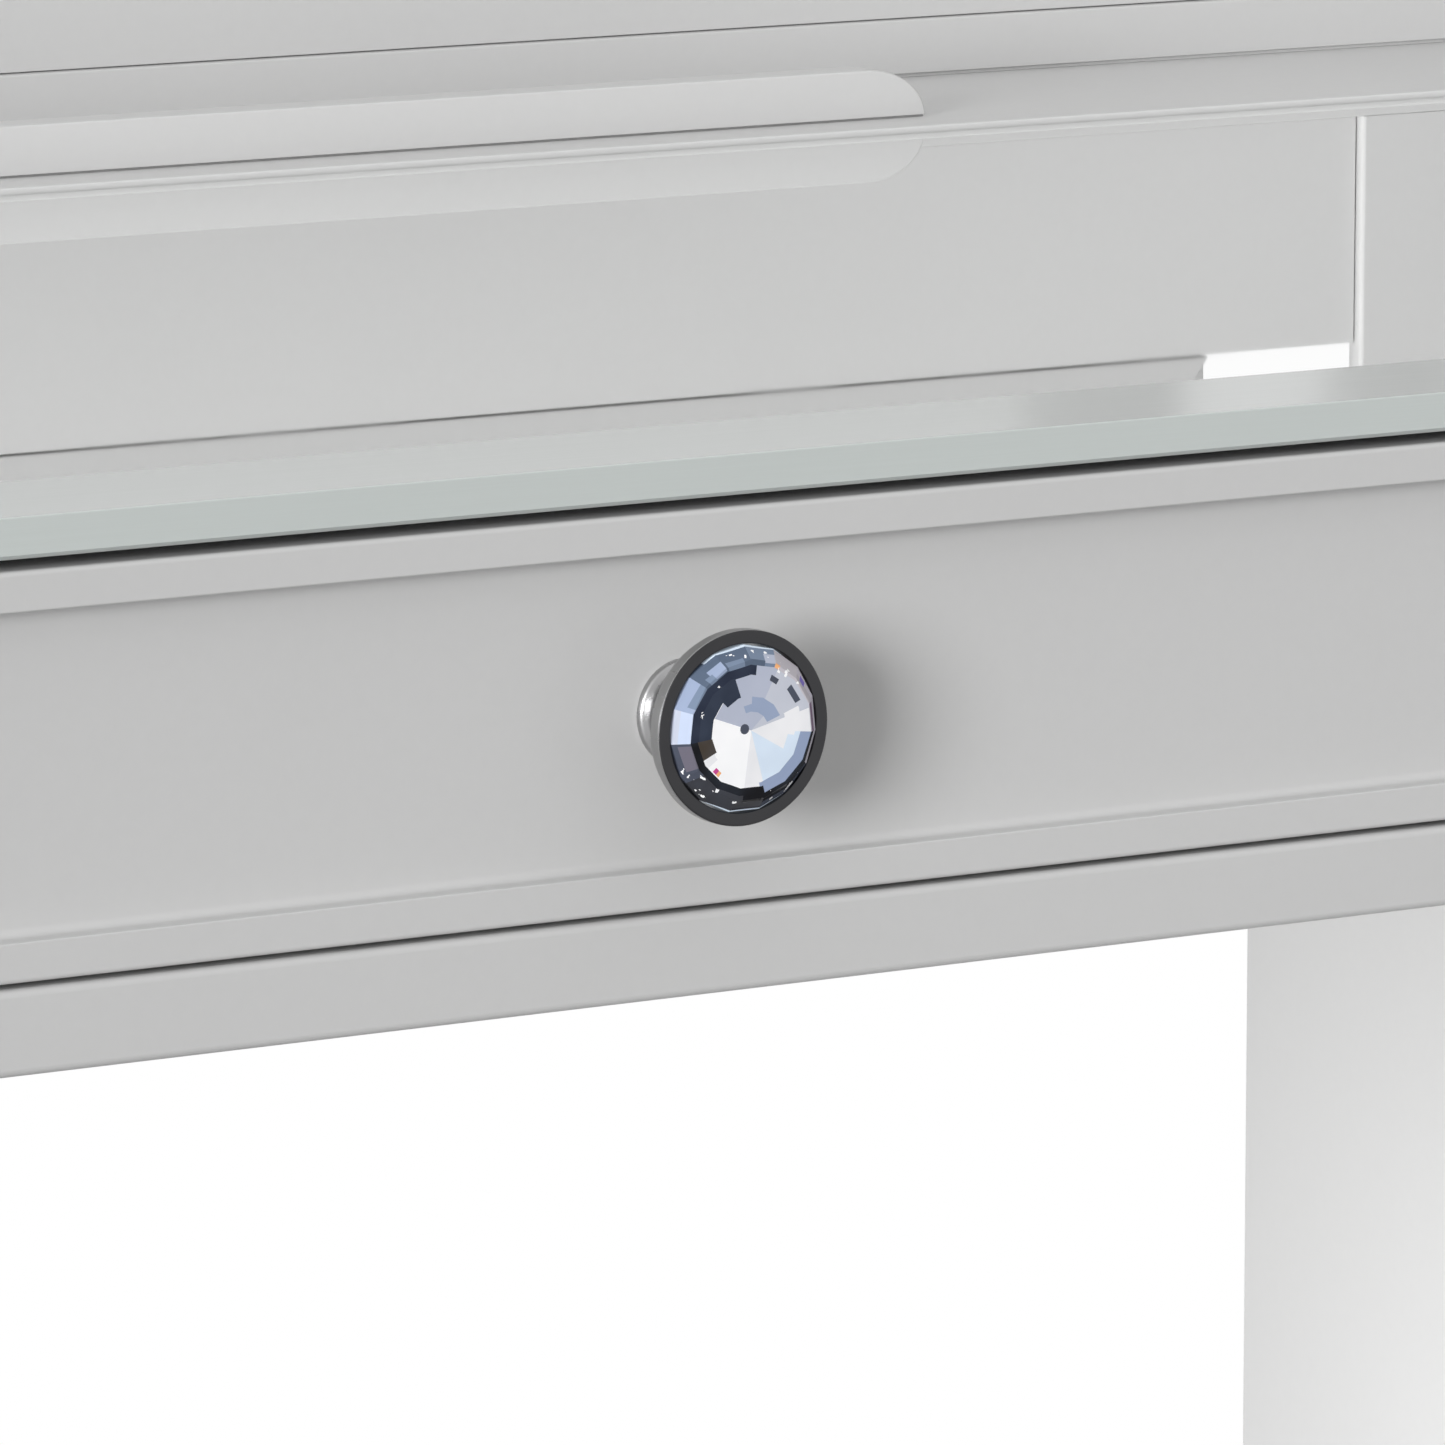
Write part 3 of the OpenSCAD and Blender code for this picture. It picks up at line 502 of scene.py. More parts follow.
def inward(outline):
    """Unit vectors that point into an anticlockwise outline, square to the chord through both neighbours."""
    chord = np.roll(outline, -1, 0) - np.roll(outline, 1, 0)
    chord /= np.linalg.norm(chord, axis=1, keepdims=True)
    return np.stack([-chord[:, 1], chord[:, 0]], -1)


def nested_rectangles(half_a, half_b, shift_b, corner, steps, hold):
    """A stack of round-cornered rectangles, one per row of the inputs. A corner's points are
    (half - corner) + corner (cos t, sin t), with one more point on each side of it along the straight."""
    turn = np.concatenate([[0.0], np.linspace(0, 90, steps + 1), [90.0]])
    slide = np.concatenate([[-hold], np.zeros(steps + 1), [hold]])
    t = np.radians(np.arange(4)[:, None] * 90 + turn)
    side_a = np.array([1, -1, -1, 1])[:, None]
    side_b = np.array([1, 1, -1, -1])[:, None]
    rows = (half_a, half_b, shift_b, corner)
    half_a, half_b, shift_b, corner = (np.asarray(row, float)[:, None, None] for row in rows)
    a = side_a * (half_a - corner) + corner * np.cos(t) - slide * np.sin(t)
    b = side_b * (half_b - corner) + corner * np.sin(t) + slide * np.cos(t) + shift_b
    return np.stack([a, b], -1).reshape(len(corner), -1, 2)


def stack(outlines, depth, centre, axis_a, axis_b, axis_n):
    """Places outlines (rings, points, 2) in space: centre + a axis_a + b axis_b + depth axis_n."""
    a, b = outlines[..., 0:1], outlines[..., 1:2]
    n = np.broadcast_to(np.asarray(depth, float).reshape(len(outlines), -1, 1), a.shape)
    return np.asarray(centre, float) + a * axis_a + b * axis_b + n * axis_n


def ring_faces(rings, points, closed=False):
    """Quads between neighbouring rings, with a face over each end ring unless the rings are closed."""
    last = rings if closed else rings - 1
    k = np.arange(last)[:, None]
    i = np.arange(points)[None, :]
    j = (i + 1) % points
    up = (k + 1) % rings
    quads = np.stack([k * points + i, k * points + j, up * points + j, up * points + i], -1)
    faces = quads.reshape(-1, 4).tolist()
    if not closed:
        faces.append(list(range(points))[::-1])
        faces.append(list(range((rings - 1) * points, rings * points)))
    return faces


def put(name, points, faces, finish, body, replaces=(), smooth=True, picks=None):
    """Makes a mesh of the points and faces, turns its faces outwards, and hangs it on a body."""
    mesh = bpy.data.meshes.new(name)
    mesh.from_pydata(points.reshape(-1, 3).tolist(), [], faces)
    finishes = finish if isinstance(finish, (list, tuple)) else [finish]
    for item in finishes:
        mesh.materials.append(Finish.made[item])
    if picks is not None:
        mesh.polygons.foreach_set("material_index", picks)
    work = bmesh.new()
    work.from_mesh(mesh)
    bmesh.ops.recalc_face_normals(work, faces=work.faces)
    work.to_mesh(mesh)
    work.free()
    mesh.polygons.foreach_set("use_smooth", [smooth] * len(mesh.polygons))
    mesh.validate()
    piece = bpy.data.objects.new(name, mesh)
    bpy.context.scene.collection.objects.link(piece)
    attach(piece, body)
    if replaces:
        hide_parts(*replaces)
    return piece


def ring_piece(name, rings, finish, body, replaces=(), picks=None, closed=False, smooth=True):
    """A closed piece from rings of points (rings, points, 3)."""
    faces = ring_faces(rings.shape[0], rings.shape[1], closed)
    return put(name, rings, faces, finish, body, replaces, smooth, picks)


def corners_of(node):
    """Lowest and highest corner of a CAD node, as arrays."""
    low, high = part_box(node)
    return np.array(low), np.array(high)


def soft_board(name, low, high, radius, sizes, finish, body, replaces=()):
    """A board between two corners with every edge round: its profile is a quarter circle of the radius,
    a straight run across the thickness and a second quarter circle."""
    low, high = np.array(low, float), np.array(high, float)
    size = high - low
    thin = int(np.argmin(size))
    axis_n = np.eye(3)[thin]
    axis_a, axis_b = np.eye(3)[(thin + 1) % 3], np.eye(3)[(thin + 2) % 3]
    half_t = size[thin] / 2
    radius = min(radius, half_t * 0.8)
    steps, hold = sizes.edge_steps, sizes.hold
    back = quarter((radius, radius - half_t), -radius, -radius, 90, 0, steps)
    front = quarter((radius, half_t - radius), -radius, radius, 0, 90, steps)
    cap = np.array([[radius + hold, 0.0]])
    profile = with_holds([cap - [0, half_t], back, front, cap + [0, half_t]], hold)
    inset, depth = profile[:, 0], profile[:, 1]
    corner = np.maximum(radius - inset, SHARP)
    half_a, half_b = size[(thin + 1) % 3] / 2, size[(thin + 2) % 3] / 2
    flat = nested_rectangles(half_a - inset, half_b - inset, np.zeros_like(inset), corner, steps, hold)
    rings = stack(flat, depth, (low + high) / 2, axis_a, axis_b, axis_n)
    return ring_piece(name, rings, finish, body, replaces)


def board_for(node, radius, sizes, finish, body):
    """A soft board in the place of a CAD board."""
    low, high = corners_of(node)
    return soft_board(node + "_board", low, high, radius, sizes, finish, body, [node])


def extruded(outline, low_n, high_n, end_radius, sizes):
    """Outlines and depths of a bar with round ends: near an end the outline moves inwards by
    radius (1 - sin t) while the depth runs by radius (1 - cos t)."""
    t = np.radians(np.linspace(0, 90, sizes.edge_steps + 1))
    inset = np.concatenate([[end_radius + sizes.hold], end_radius * (1 - np.sin(t)), [0.0]])
    along = np.concatenate([[0.0], end_radius * (1 - np.cos(t)), [end_radius + sizes.hold]])
    inset = np.concatenate([inset, inset[::-1]])
    depth = np.concatenate([low_n + along, high_n - along[::-1]])
    outlines = outline[None] + inward(outline)[None] * inset[:, None, None]
    return outlines, depth


def lathe(name, profile, centre, axis, sizes, finish, body, replaces=(), closed=False, picks=None):
    """A turned piece: profile rows are (radius, height along the axis)."""
    t = np.linspace(0, 2 * np.pi, sizes.round_steps, endpoint=False)
    axis = np.asarray(axis, float)
    side = np.cross(axis, UP if abs(axis[2]) < 0.9 else RIGHT)
    other = np.cross(axis, side)
    flat = profile[:, 0][:, None, None] * np.stack([np.cos(t), np.sin(t)], -1)[None]
    rings = stack(flat, profile[:, 1], centre, side, other, axis)
    return ring_piece(name, rings, finish, body, replaces, picks, closed)


def turned_outline(corners, radii, sizes):
    """A turned profile from the axis back to the axis with round corners. Its ends stay on the axis."""
    tiny = 0.01 * MM
    p = np.array(corners, float)
    rounded = soft_outline(p, radii, sizes.edge_steps, sizes.hold)
    count = sizes.edge_steps + 3
    rows = rounded[count:-count]
    start, end = p[0].copy(), p[-1].copy()
    start[0] = end[0] = tiny
    return np.concatenate([[start], rows, [end]])


def crystal_painted_reflections_finish(name):
    """Faceted crystal over foil, with its reflections painted on. What its facets mirror is painted as
    patches between two angles and two distances. The distance runs square to the facets: r cos(a - a_middle)
    for a point at r and a, so that the patches end along straight facet edges. Painted glints break up the
    dark patches, a painted dot shows the tip seen through the crystal, and a faint glow in the same colours
    lightens it."""
    f = Finish(name)
    chart = f.wire(f.node("ShaderNodeUVMap", {"uv_map": "cut"}))
    u, v, _ = f.axes(chart)
    x, z = (u - 0.5) * CHART, (v - 0.5) * CHART
    tall = z * CHART_RISE
    away = (x * x + z * z).root()
    step = 2 * math.pi / FACETS
    turn = z.math("ARCTAN2", z, x) - math.pi / 2
    across = turn.math("WRAP", turn, step, 0.0) - step / 2
    reach = (x * x + tall * tall).root() * across.math("COSINE", across)
    here = f.place()
    streak = f.noise(here, 700.0, 2.0)

    def between(start, end, low, high):
        """1 between two angles, in degrees, and two distances, in millimetres."""
        middle, half = math.radians((start + end) / 2), math.radians((end - start) / 2)
        ahead = x * math.cos(middle) + z * math.sin(middle)
        wedge = ahead > away * math.cos(half)
        return wedge * (reach > low) * (reach < high)

    # Painted reflections, one patch after another, over an ice-coloured ground.
    base = tone(REFLECTION_PAINT_COLOURS["ice"])
    for start, end, low, high, colour in PAINTED_REFLECTION_PATCHES:
        base = f.mix(between(start, end, low, high), base, tone(REFLECTION_PAINT_COLOURS[colour]))
    # Painted glints: white painted into the colour where the noise runs high.
    for start, end, low, high, least in PAINTED_GLINTS:
        base = f.mix(between(start, end, low, high) * (streak > least), base, tone(REFLECTION_PAINT_COLOURS["white"]))
    # A painted dot: the crystal's tip as it would be seen through the table.
    tip_left, tip_up, tip_area = 1.2, 0.3, 0.7
    dot_x, dot_z = x + tip_left, z - tip_up
    dot = dot_x * dot_x + dot_z * dot_z < tip_area
    base = f.mix(dot, base, tone(REFLECTION_PAINT_COLOURS["slate"]))
    cloud = f.noise(here, 160.0, 2.0).step(0.3, 0.7)
    base = f.mix(cloud * 0.16, base, f.mix(0.5, base, tone(REFLECTION_PAINT_COLOURS["steel"])))
    return f.set(
        Base_Color=base,
        Roughness=0.08 + streak * 0.04,
        Specular_IOR_Level=0.12,
        # A faint painted glow in the colours of the painted reflections: the crystal lights itself a little,
        # though it is no lamp.
        Emission_Color=base,
        Emission_Strength=0.16,
    )


def finishes(colours):
    """Every material, under the name that the pieces use."""
    paint_finish("grey paint", colours.paint)
    silver_finish("silvered glass", colours.silver)
    # The bevel's grey-green is its green body with a painted reflection of the grey paint in it.
    ground_glass_finish("ground bevel", colours.glass_bevel, 0.16, 0.25, 40.0)
    ground_glass_finish("glass edge", colours.glass_edge, 0.22, 0.0, 60.0)
    backing_finish("backing paint", (0.23, 0.24, 0.25))
    backing_finish("hardboard", (0.25, 0.16, 0.09))
    # The bezel's front is brushed nickel painted dark: a painted dark reflection.
    metal_finish("bezel_face_painted_dark", colours.bezel_face_painted_dark, 0.30, (1, 1, 1))
    metal_finish("brushed nickel", colours.nickel, 0.24, (1, 0.05, 1))
    metal_finish("zinc steel", (0.55, 0.55, 0.54), 0.30, (1, 1, 1))
    metal_finish("turned brass", (0.62, 0.45, 0.20), 0.25, (0.05, 1, 1))
    wood_finish("box wood", colours.lining, 1)
    wood_finish("beech", (0.62, 0.44, 0.27), 0)
    plastic_finish("nylon", (0.80, 0.80, 0.77))
    crystal_painted_reflections_finish("cut crystal")


class TablePiece:
    """What the operators share: the scene's settings."""

    bl_options = {"REGISTER"}

    @property
    def sizes(self):
        return bpy.context.scene.dressing_sizes

    @property
    def colours(self):
        return bpy.context.scene.dressing_colours


class DRESSING_OT_finishes(TablePiece, Operator):
    """Make the materials and give the kept CAD pieces theirs."""

    bl_idname = "dressing.finishes"
    bl_label = "Finishes"

    def execute(self, context):
        finishes(self.colours)
        kept = {
            "glide_tapes": "nylon", "floor_glides": "nylon", "board_dowels": "beech", "post_dowels": "beech",
            "pivot_bushes": "turned brass", "stand_screws": "zinc steel", "pivot_pins": "zinc steel",
        }
        kept.update({f"drawer_{name}_dowels": "beech" for name in DRAWERS})
        for node, finish in kept.items():
            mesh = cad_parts[node].data
            mesh.materials.clear()
            mesh.materials.append(Finish.made[finish])
        return {"FINISHED"}


class DRESSING_OT_carcass(TablePiece, Operator):
    """Build the side slabs and the boards between them."""

    bl_idname = "dressing.carcass"
    bl_label = "Carcass"

    def execute(self, context):
        for node in ("side_left", "side_right", "back_panel"):
            board_for(node, self.sizes.arris, self.sizes, "grey paint", "table")
        board_for("bottom_board", self.sizes.rail_arris, self.sizes, "grey paint", "table")
        for node in ("sub_top", "divider_left", "divider_right"):
            board_for(node, self.sizes.fine_arris, self.sizes, "grey paint", "table")
        return {"FINISHED"}


class DRESSING_OT_glass(TablePiece, Operator):
    """Build the glass top with its ground bevel."""

    bl_idname = "dressing.glass"
    bl_label = "Glass top"

    def execute(self, context):
        sizes = self.sizes
        low, high = corners_of("glass_top")
        hold, steps = sizes.hold, sizes.edge_steps
        height = high[2] - low[2]
        edge = height - sizes.glass_drop
        small = 0.25 * MM
        under = np.array([[sizes.glass_arris + hold, 0.0], [sizes.glass_arris, 0.0]])
        face = np.array([[0.0, sizes.glass_arris]])
        nose = quarter((small, edge - small), -small, small, 0, 85, steps)
        rim = np.array([[sizes.glass_bevel, height]])
        flat = np.array([[sizes.glass_bevel + hold, height]])
        profile = with_holds([under, face, nose, rim, flat], hold)
        inset, up = profile[:, 0], profile[:, 1]
        back_inset = np.minimum(inset, small)
        half_x, half_y = (high[0] - low[0]) / 2, (high[1] - low[1]) / 2
        corner_r = 2 * MM
        corner = np.maximum(corner_r - inset, SHARP)
        outlines = nested_rectangles(
            half_x - inset, half_y - (inset + back_inset) / 2, (inset - back_inset) / 2,
            corner, steps, hold)
        base = [(low[0] + high[0]) / 2, (low[1] + high[1]) / 2, low[2]]
        rings = stack(outlines, up, base, RIGHT, BACK, UP)
        middle = (up[:-1] + up[1:]) / 2
        ends = inset[1:]
        kind = np.where(ends > small, 1, 2)
        kind[middle < sizes.glass_arris] = 2
        picks = np.concatenate([np.repeat(kind, outlines.shape[1]), [3, 0]])
        ring_piece("glass_plate", rings, ["silvered glass", "ground bevel", "glass edge", "backing paint"],
                   "table", ["glass_top"], picks.tolist())
        return {"FINISHED"}


class DRESSING_OT_rear_strip(TablePiece, Operator):
    """Build the painted strip behind the glass and the low ledge bar on it."""

    bl_idname = "dressing.rear_strip"
    bl_label = "Rear strip and ledge bar"

    def execute(self, context):
        board_for("rear_strip", self.sizes.fine_arris, self.sizes, "grey paint", "table")
        self.ledge_bar()
        return {"FINISHED"}

    def ledge_bar(self):
        """The bar's outline in X and Z, with quarter-ellipse ends, carried from front to back. The front
        rings stop at the height of the shadow groove and the others reach the strip."""
        sizes = self.sizes
        low, high = corners_of("ledge_bar")
        half = (high[0] - low[0]) / 2
        height = high[2] - low[2]
        end = 14 * MM
        groove, groove_in = 0.5 * MM, 1 * MM
        steps = 16
        right = quarter((half - end, 0), end, height, 0, 90, steps)
        left = quarter((end - half, 0), end, height, 90, 180, steps)
        outline = with_holds([right, left, right[:1]], sizes.hold)[:-1]
        outlines, depth = extruded(outline, 0.0, high[1] - low[1], sizes.fine_arris, sizes)
        before = depth < groove_in
        last = int(np.count_nonzero(before)) - 1
        outlines = np.insert(outlines, last + 1, [outlines[last], outlines[last]], axis=0)
        depth = np.insert(depth, last + 1, [groove_in, groove_in])
        front_z = outlines[: last + 2, :, 1]
        outlines[: last + 2, :, 1] = np.maximum(front_z, groove)
        outlines[..., 1] = np.maximum(outlines[..., 1], 0.0)
        base = [0.0, low[1], low[2]]
        rings = stack(outlines, depth, base, RIGHT, UP, BACK)
        ring_piece("ledge_bar_body", rings, "grey paint", "table", ["ledge_bar"])


class DRESSING_OT_mirror_stand(TablePiece, Operator):
    """Build the base board, the fascia and the two posts."""

    bl_idname = "dressing.mirror_stand"
    bl_label = "Mirror stand"

    def execute(self, context):
        base_groove, fascia_groove, fascia_longer = 0.9 * MM, 0.25 * MM, 0.7 * MM
        self.grooved("mirror_base", base_groove, 0.0)
        self.grooved("fascia", fascia_groove, fascia_longer)
        for side, node in ((-1, "post_left"), (1, "post_right")):
            self.post(node, side)
        return {"FINISHED"}

    def grooved(self, node, groove, longer):
        """A board with a shadow groove at its front foot: its section in Y and Z runs along X. Each end
        may be a little longer than the CAD board, to narrow the joint beside it."""
        sizes = self.sizes
        low, high = corners_of(node)
        deep, tall = high[1] - low[1], high[2] - low[2]
        groove_in, end_arris = 1 * MM, 0.3 * MM
        fine, arris = 0.12 * MM, sizes.arris
        corners = [(groove_in, 0), (deep, 0), (deep, tall), (0, tall), (0, groove), (groove_in, groove)]
        edge = sizes.fine_arris
        outline = soft_outline(corners, [fine, arris, arris, edge, fine, fine], sizes.edge_steps, sizes.hold)
        outlines, depth = extruded(outline, low[0] - longer, high[0] + longer, end_arris, sizes)
        rings = stack(outlines, depth, [0.0, low[1], low[2]], BACK, UP, RIGHT)
        ring_piece(node + "_board", rings, "grey paint", "table", [node])

    def post(self, node, side):
        """A post: its front outline in X and Z, round at the top, runs from front to back. Behind the depth
        where the chamfer starts, the inner edge moves in as fast as the depth grows, and less and less
        over the chamfer's run-out. The foot stays sharp, since it stands on the base."""
        sizes = self.sizes
        low, high = corners_of(node)
        half = (high[0] - low[0]) / 2
        tall, deep = high[2] - low[2], high[1] - low[1]
        sleeve_low, sleeve_high = corners_of("spacer_sleeves")
        pivot_z = (sleeve_low[2] + sleeve_high[2]) / 2
        chamfer = run_out = 11.5 * MM
        chamfer_to_pivot = 81 * MM
        chamfer_l = pivot_z - chamfer_to_pivot - low[2]
        top = 14 * MM
        right = quarter((half - top, tall - top), top, top, 0, 90, 12)
        left = quarter((top - half, tall - top), top, top, 90, 180, 12)
        above = 0.2 * MM
        inner_side = [[-half, chamfer_l + above], [-half, chamfer_l], [-half, chamfer_l - run_out]]
        foot = [[-half, sizes.hold], [-half, 0.0], [sizes.hold - half, 0.0],
                [half - sizes.hold, 0.0], [half, 0.0], [half, sizes.hold]]
        outline = np.concatenate([with_holds([right, left], sizes.hold), inner_side, foot])
        outlines, depth = extruded(outline, 0.0, deep, sizes.arris, sizes)
        start = deep - chamfer
        extra = np.array([start, start + sizes.hold])
        where = int(np.searchsorted(depth, start))
        outlines = np.insert(outlines, where, [outline, outline], axis=0)
        depth = np.insert(depth, where, extra)
        amount = np.clip(depth - start, 0, None)[:, None]
        height = outlines[..., 1]
        share = np.clip((chamfer_l - height) / run_out, 0, 1)
        edge = -half + amount * share
        outlines[..., 0] = np.maximum(outlines[..., 0], edge)
        outlines[..., 1] = np.where(outline[:, 1] <= sizes.hold, outline[:, 1], height)
        outlines[..., 0] *= side
        rings = stack(outlines, depth, [(low[0] + high[0]) / 2, low[1], low[2]], RIGHT, UP, BACK)
        ring_piece(node + "_board", rings, "grey paint", "table", [node])


class DRESSING_OT_swing_mirror(TablePiece, Operator):
    """Build the mitred mirror frame, its pane and its backing."""

    bl_idname = "dressing.swing_mirror"
    bl_label = "Swing mirror"

    def execute(self, context):
        low = corners_of("frame_bottom_rail")[0]
        high = corners_of("frame_top_rail")[1]
        middle = (low + high) / 2
        half_x, half_z = (high[0] - low[0]) / 2, (high[2] - low[2]) / 2
        front = [middle[0], low[1], middle[2]]
        deep = high[1] - low[1]
        trim = high[0] - corners_of("frame_right_stile")[1][0]
        members = (
            ("frame_bottom_rail", half_x, half_z, RIGHT, UP, 0.0),
            ("frame_top_rail", half_x, half_z, -RIGHT, -UP, 0.0),
            ("frame_left_stile", half_z, half_x, -UP, RIGHT, trim),
            ("frame_right_stile", half_z, half_x, UP, -RIGHT, trim),
        )
        for node, half_l, half_w, along, across, cut in members:
            self.member(node, front, deep, half_l, half_w, along, across, cut)
        low, high = corners_of("mirror_pane")
        pane_arris = 0.3 * MM
        soft_board("mirror_pane_glass", low, high, pane_arris, self.sizes, "silvered glass", "mirror",
                   ["mirror_pane"])
        low, high = corners_of("mirror_backing")
        soft_board("mirror_backing_board", low, high, self.sizes.fine_arris, self.sizes, "hardboard",
                   "mirror", ["mirror_backing"])
        return {"FINISHED"}

    def member(self, node, front, deep, half_l, half_w, along, across, cut):
        """A mitred member: its section in depth and distance from the outer edge runs along the frame's
        side, and each point stops at half the side's length less its distance from the outer edge.
        A cut takes that much off the outer edge."""
        sizes = self.sizes
        width, rebate, lip = 45 * MM, 8 * MM, 7 * MM
        bevel_w, bevel_d = 10 * MM, 3 * MM
        start_d = bevel_d * (1 - cut / bevel_w)
        corners = [(start_d, cut), (deep, cut), (deep, width - rebate), (lip, width - rebate),
                   (lip, width), (0, width), (0, bevel_w)]
        fine, arris = sizes.fine_arris, sizes.arris
        radii = [fine, arris, fine, fine, fine, arris, fine]
        section = soft_outline(corners, radii, sizes.edge_steps, sizes.hold)
        mitre_gap = 0.04 * MM
        reach = half_l - section[:, 1] - mitre_gap
        deepness = section[:, 0:1] * BACK
        sideways = (section[:, 1:2] - half_w) * across
        reaches = np.stack([-reach, sizes.hold - reach, reach - sizes.hold, reach])
        rings = front + deepness + sideways + reaches[..., None] * along
        ring_piece(node + "_board", rings, "grey paint", "mirror", [node])


class DRESSING_OT_pivots(TablePiece, Operator):
    """Turn the spacer sleeves and the tilt knobs."""

    bl_idname = "dressing.pivots"
    bl_label = "Pivots"

    def execute(self, context):
        sizes = self.sizes
        low, high = corners_of("spacer_sleeves")
        centre_y, centre_z = (low[1] + high[1]) / 2, (low[2] + high[2]) / 2
        radius = (high[2] - low[2]) / 2
        frame_x = corners_of("frame_right_stile")[1][0]
        post_x = corners_of("post_right")[1][0]
        knob_low, knob_high = corners_of("tilt_knobs")
        knob_r = (knob_high[2] - knob_low[2]) / 2
        knob_l = knob_high[0] - post_x
        gap = 0.3 * MM
        sleeve_l = high[0] - frame_x
        waist = 0.8 * radius
        collar, slope = 4 * MM, 3 * MM
        collar_edge, waist_edge, rim_edge = 0.8 * MM, 1.5 * MM, 0.5 * MM
        sleeve = turned_outline(
            [(0, 0), (radius, 0), (radius, collar), (waist, collar + slope),
             (waist, sleeve_l - collar - slope), (radius, sleeve_l - collar), (radius, sleeve_l),
             (0, sleeve_l)],
            [0, rim_edge, collar_edge, waist_edge, waist_edge, collar_edge, rim_edge, 0], sizes)
        dome = quarter((0, 0.55 * knob_l), knob_r, 0.45 * knob_l, 4, 89.5, 16)
        neck = turned_outline(
            [(0, 0), (0.55 * knob_r, 0), (0.5 * knob_r, 0.3 * knob_l),
             (knob_r - collar_edge, 0.52 * knob_l), (0, 0.52 * knob_l)],
            [0, rim_edge, waist_edge, 0.3 * MM, 0], sizes)[:-1]
        knob = np.concatenate([neck, dome])
        for side, word in ((-1, "left"), (1, "right")):
            place = [side * frame_x, centre_y, centre_z]
            lathe(f"spacer_sleeve_{word}", sleeve, place, side * RIGHT, sizes, "brushed nickel", "mirror",
                  ["spacer_sleeves"])
            place = [side * (post_x + gap), centre_y, centre_z]
            scaled = knob * [1, (knob_l - gap) / knob_l]
            lathe(f"tilt_knob_{word}", scaled, place, side * RIGHT, sizes, "brushed nickel", "mirror",
                  ["tilt_knobs"])
        return {"FINISHED"}


class DRESSING_OT_drawers(TablePiece, Operator):
    """Build the three drawer fronts and their boxes."""

    bl_idname = "dressing.drawers"
    bl_label = "Drawers"

    def execute(self, context):
        for name in DRAWERS:
            self.front(name)
            self.box(name)
        return {"FINISHED"}

    def front(self, name):
        """A front: nested rectangles from the back face round the outer arris, across the border, round the
        inner arris, down the step and through a small fillet to the sunk panel."""
        sizes = self.sizes
        node = f"drawer_{name}_front"
        low, high = corners_of(node)
        steps, hold = sizes.edge_steps, sizes.hold
        half_t = (high[1] - low[1]) / 2
        back_r, front_r, inner_r, fillet = 0.5 * MM, 0.8 * MM, 0.3 * MM, 1.4 * MM
        border, sunk = sizes.border, half_t - sizes.recess
        parts = [
            np.array([[back_r + hold, -half_t]]),
            quarter((back_r, back_r - half_t), -back_r, -back_r, 90, 0, steps),
            quarter((front_r, half_t - front_r), -front_r, front_r, 0, 90, steps),
            quarter((border - inner_r, half_t - inner_r), inner_r, inner_r, 90, 0, steps),
            quarter((border + fillet, sunk + fillet), -fillet, -fillet, 0, 90, steps),
            np.array([[border + fillet + hold, sunk]]),
        ]
        profile = with_holds(parts, hold)
        inset, depth = profile[:, 0], profile[:, 1]
        sunk_corner = 1.2 * MM
        outer = np.maximum(front_r - inset, SHARP)
        inner = np.maximum(sunk_corner + border - inset, SHARP)
        corner = np.where(inset < border / 2, outer, inner)
        half_x, half_z = (high[0] - low[0]) / 2, (high[2] - low[2]) / 2
        level = np.zeros_like(inset)
        outlines = nested_rectangles(half_x - inset, half_z - inset, level, corner, steps, hold)
        rings = stack(outlines, depth, (low + high) / 2, RIGHT, UP, FRONT)
        ring_piece(node + "_panel", rings, "grey paint", f"drawer_{name}", [node])

    def box(self, name):
        """The box sides, its back and its bottom; the bottom and the back end at the inner faces."""
        sizes, body = self.sizes, f"drawer_{name}"
        inner = []
        for part in ("side_a", "side_b"):
            low, high = corners_of(f"drawer_{name}_{part}")
            inner.append((low, high))
            soft_board(f"drawer_{name}_{part}_board", low, high, sizes.fine_arris * 2, sizes, "box wood",
                       body, [f"drawer_{name}_{part}"])
        x0, x1 = inner[0][1][0], inner[1][0][0]
        for part in ("back", "bottom"):
            low, high = corners_of(f"drawer_{name}_{part}")
            low[0], high[0] = x0, x1
            if part == "bottom":
                low[1] = corners_of(f"drawer_{name}_front")[1][1]
            soft_board(f"drawer_{name}_{part}_board", low, high, sizes.fine_arris, sizes, "box wood",
                       body, [f"drawer_{name}_{part}"])


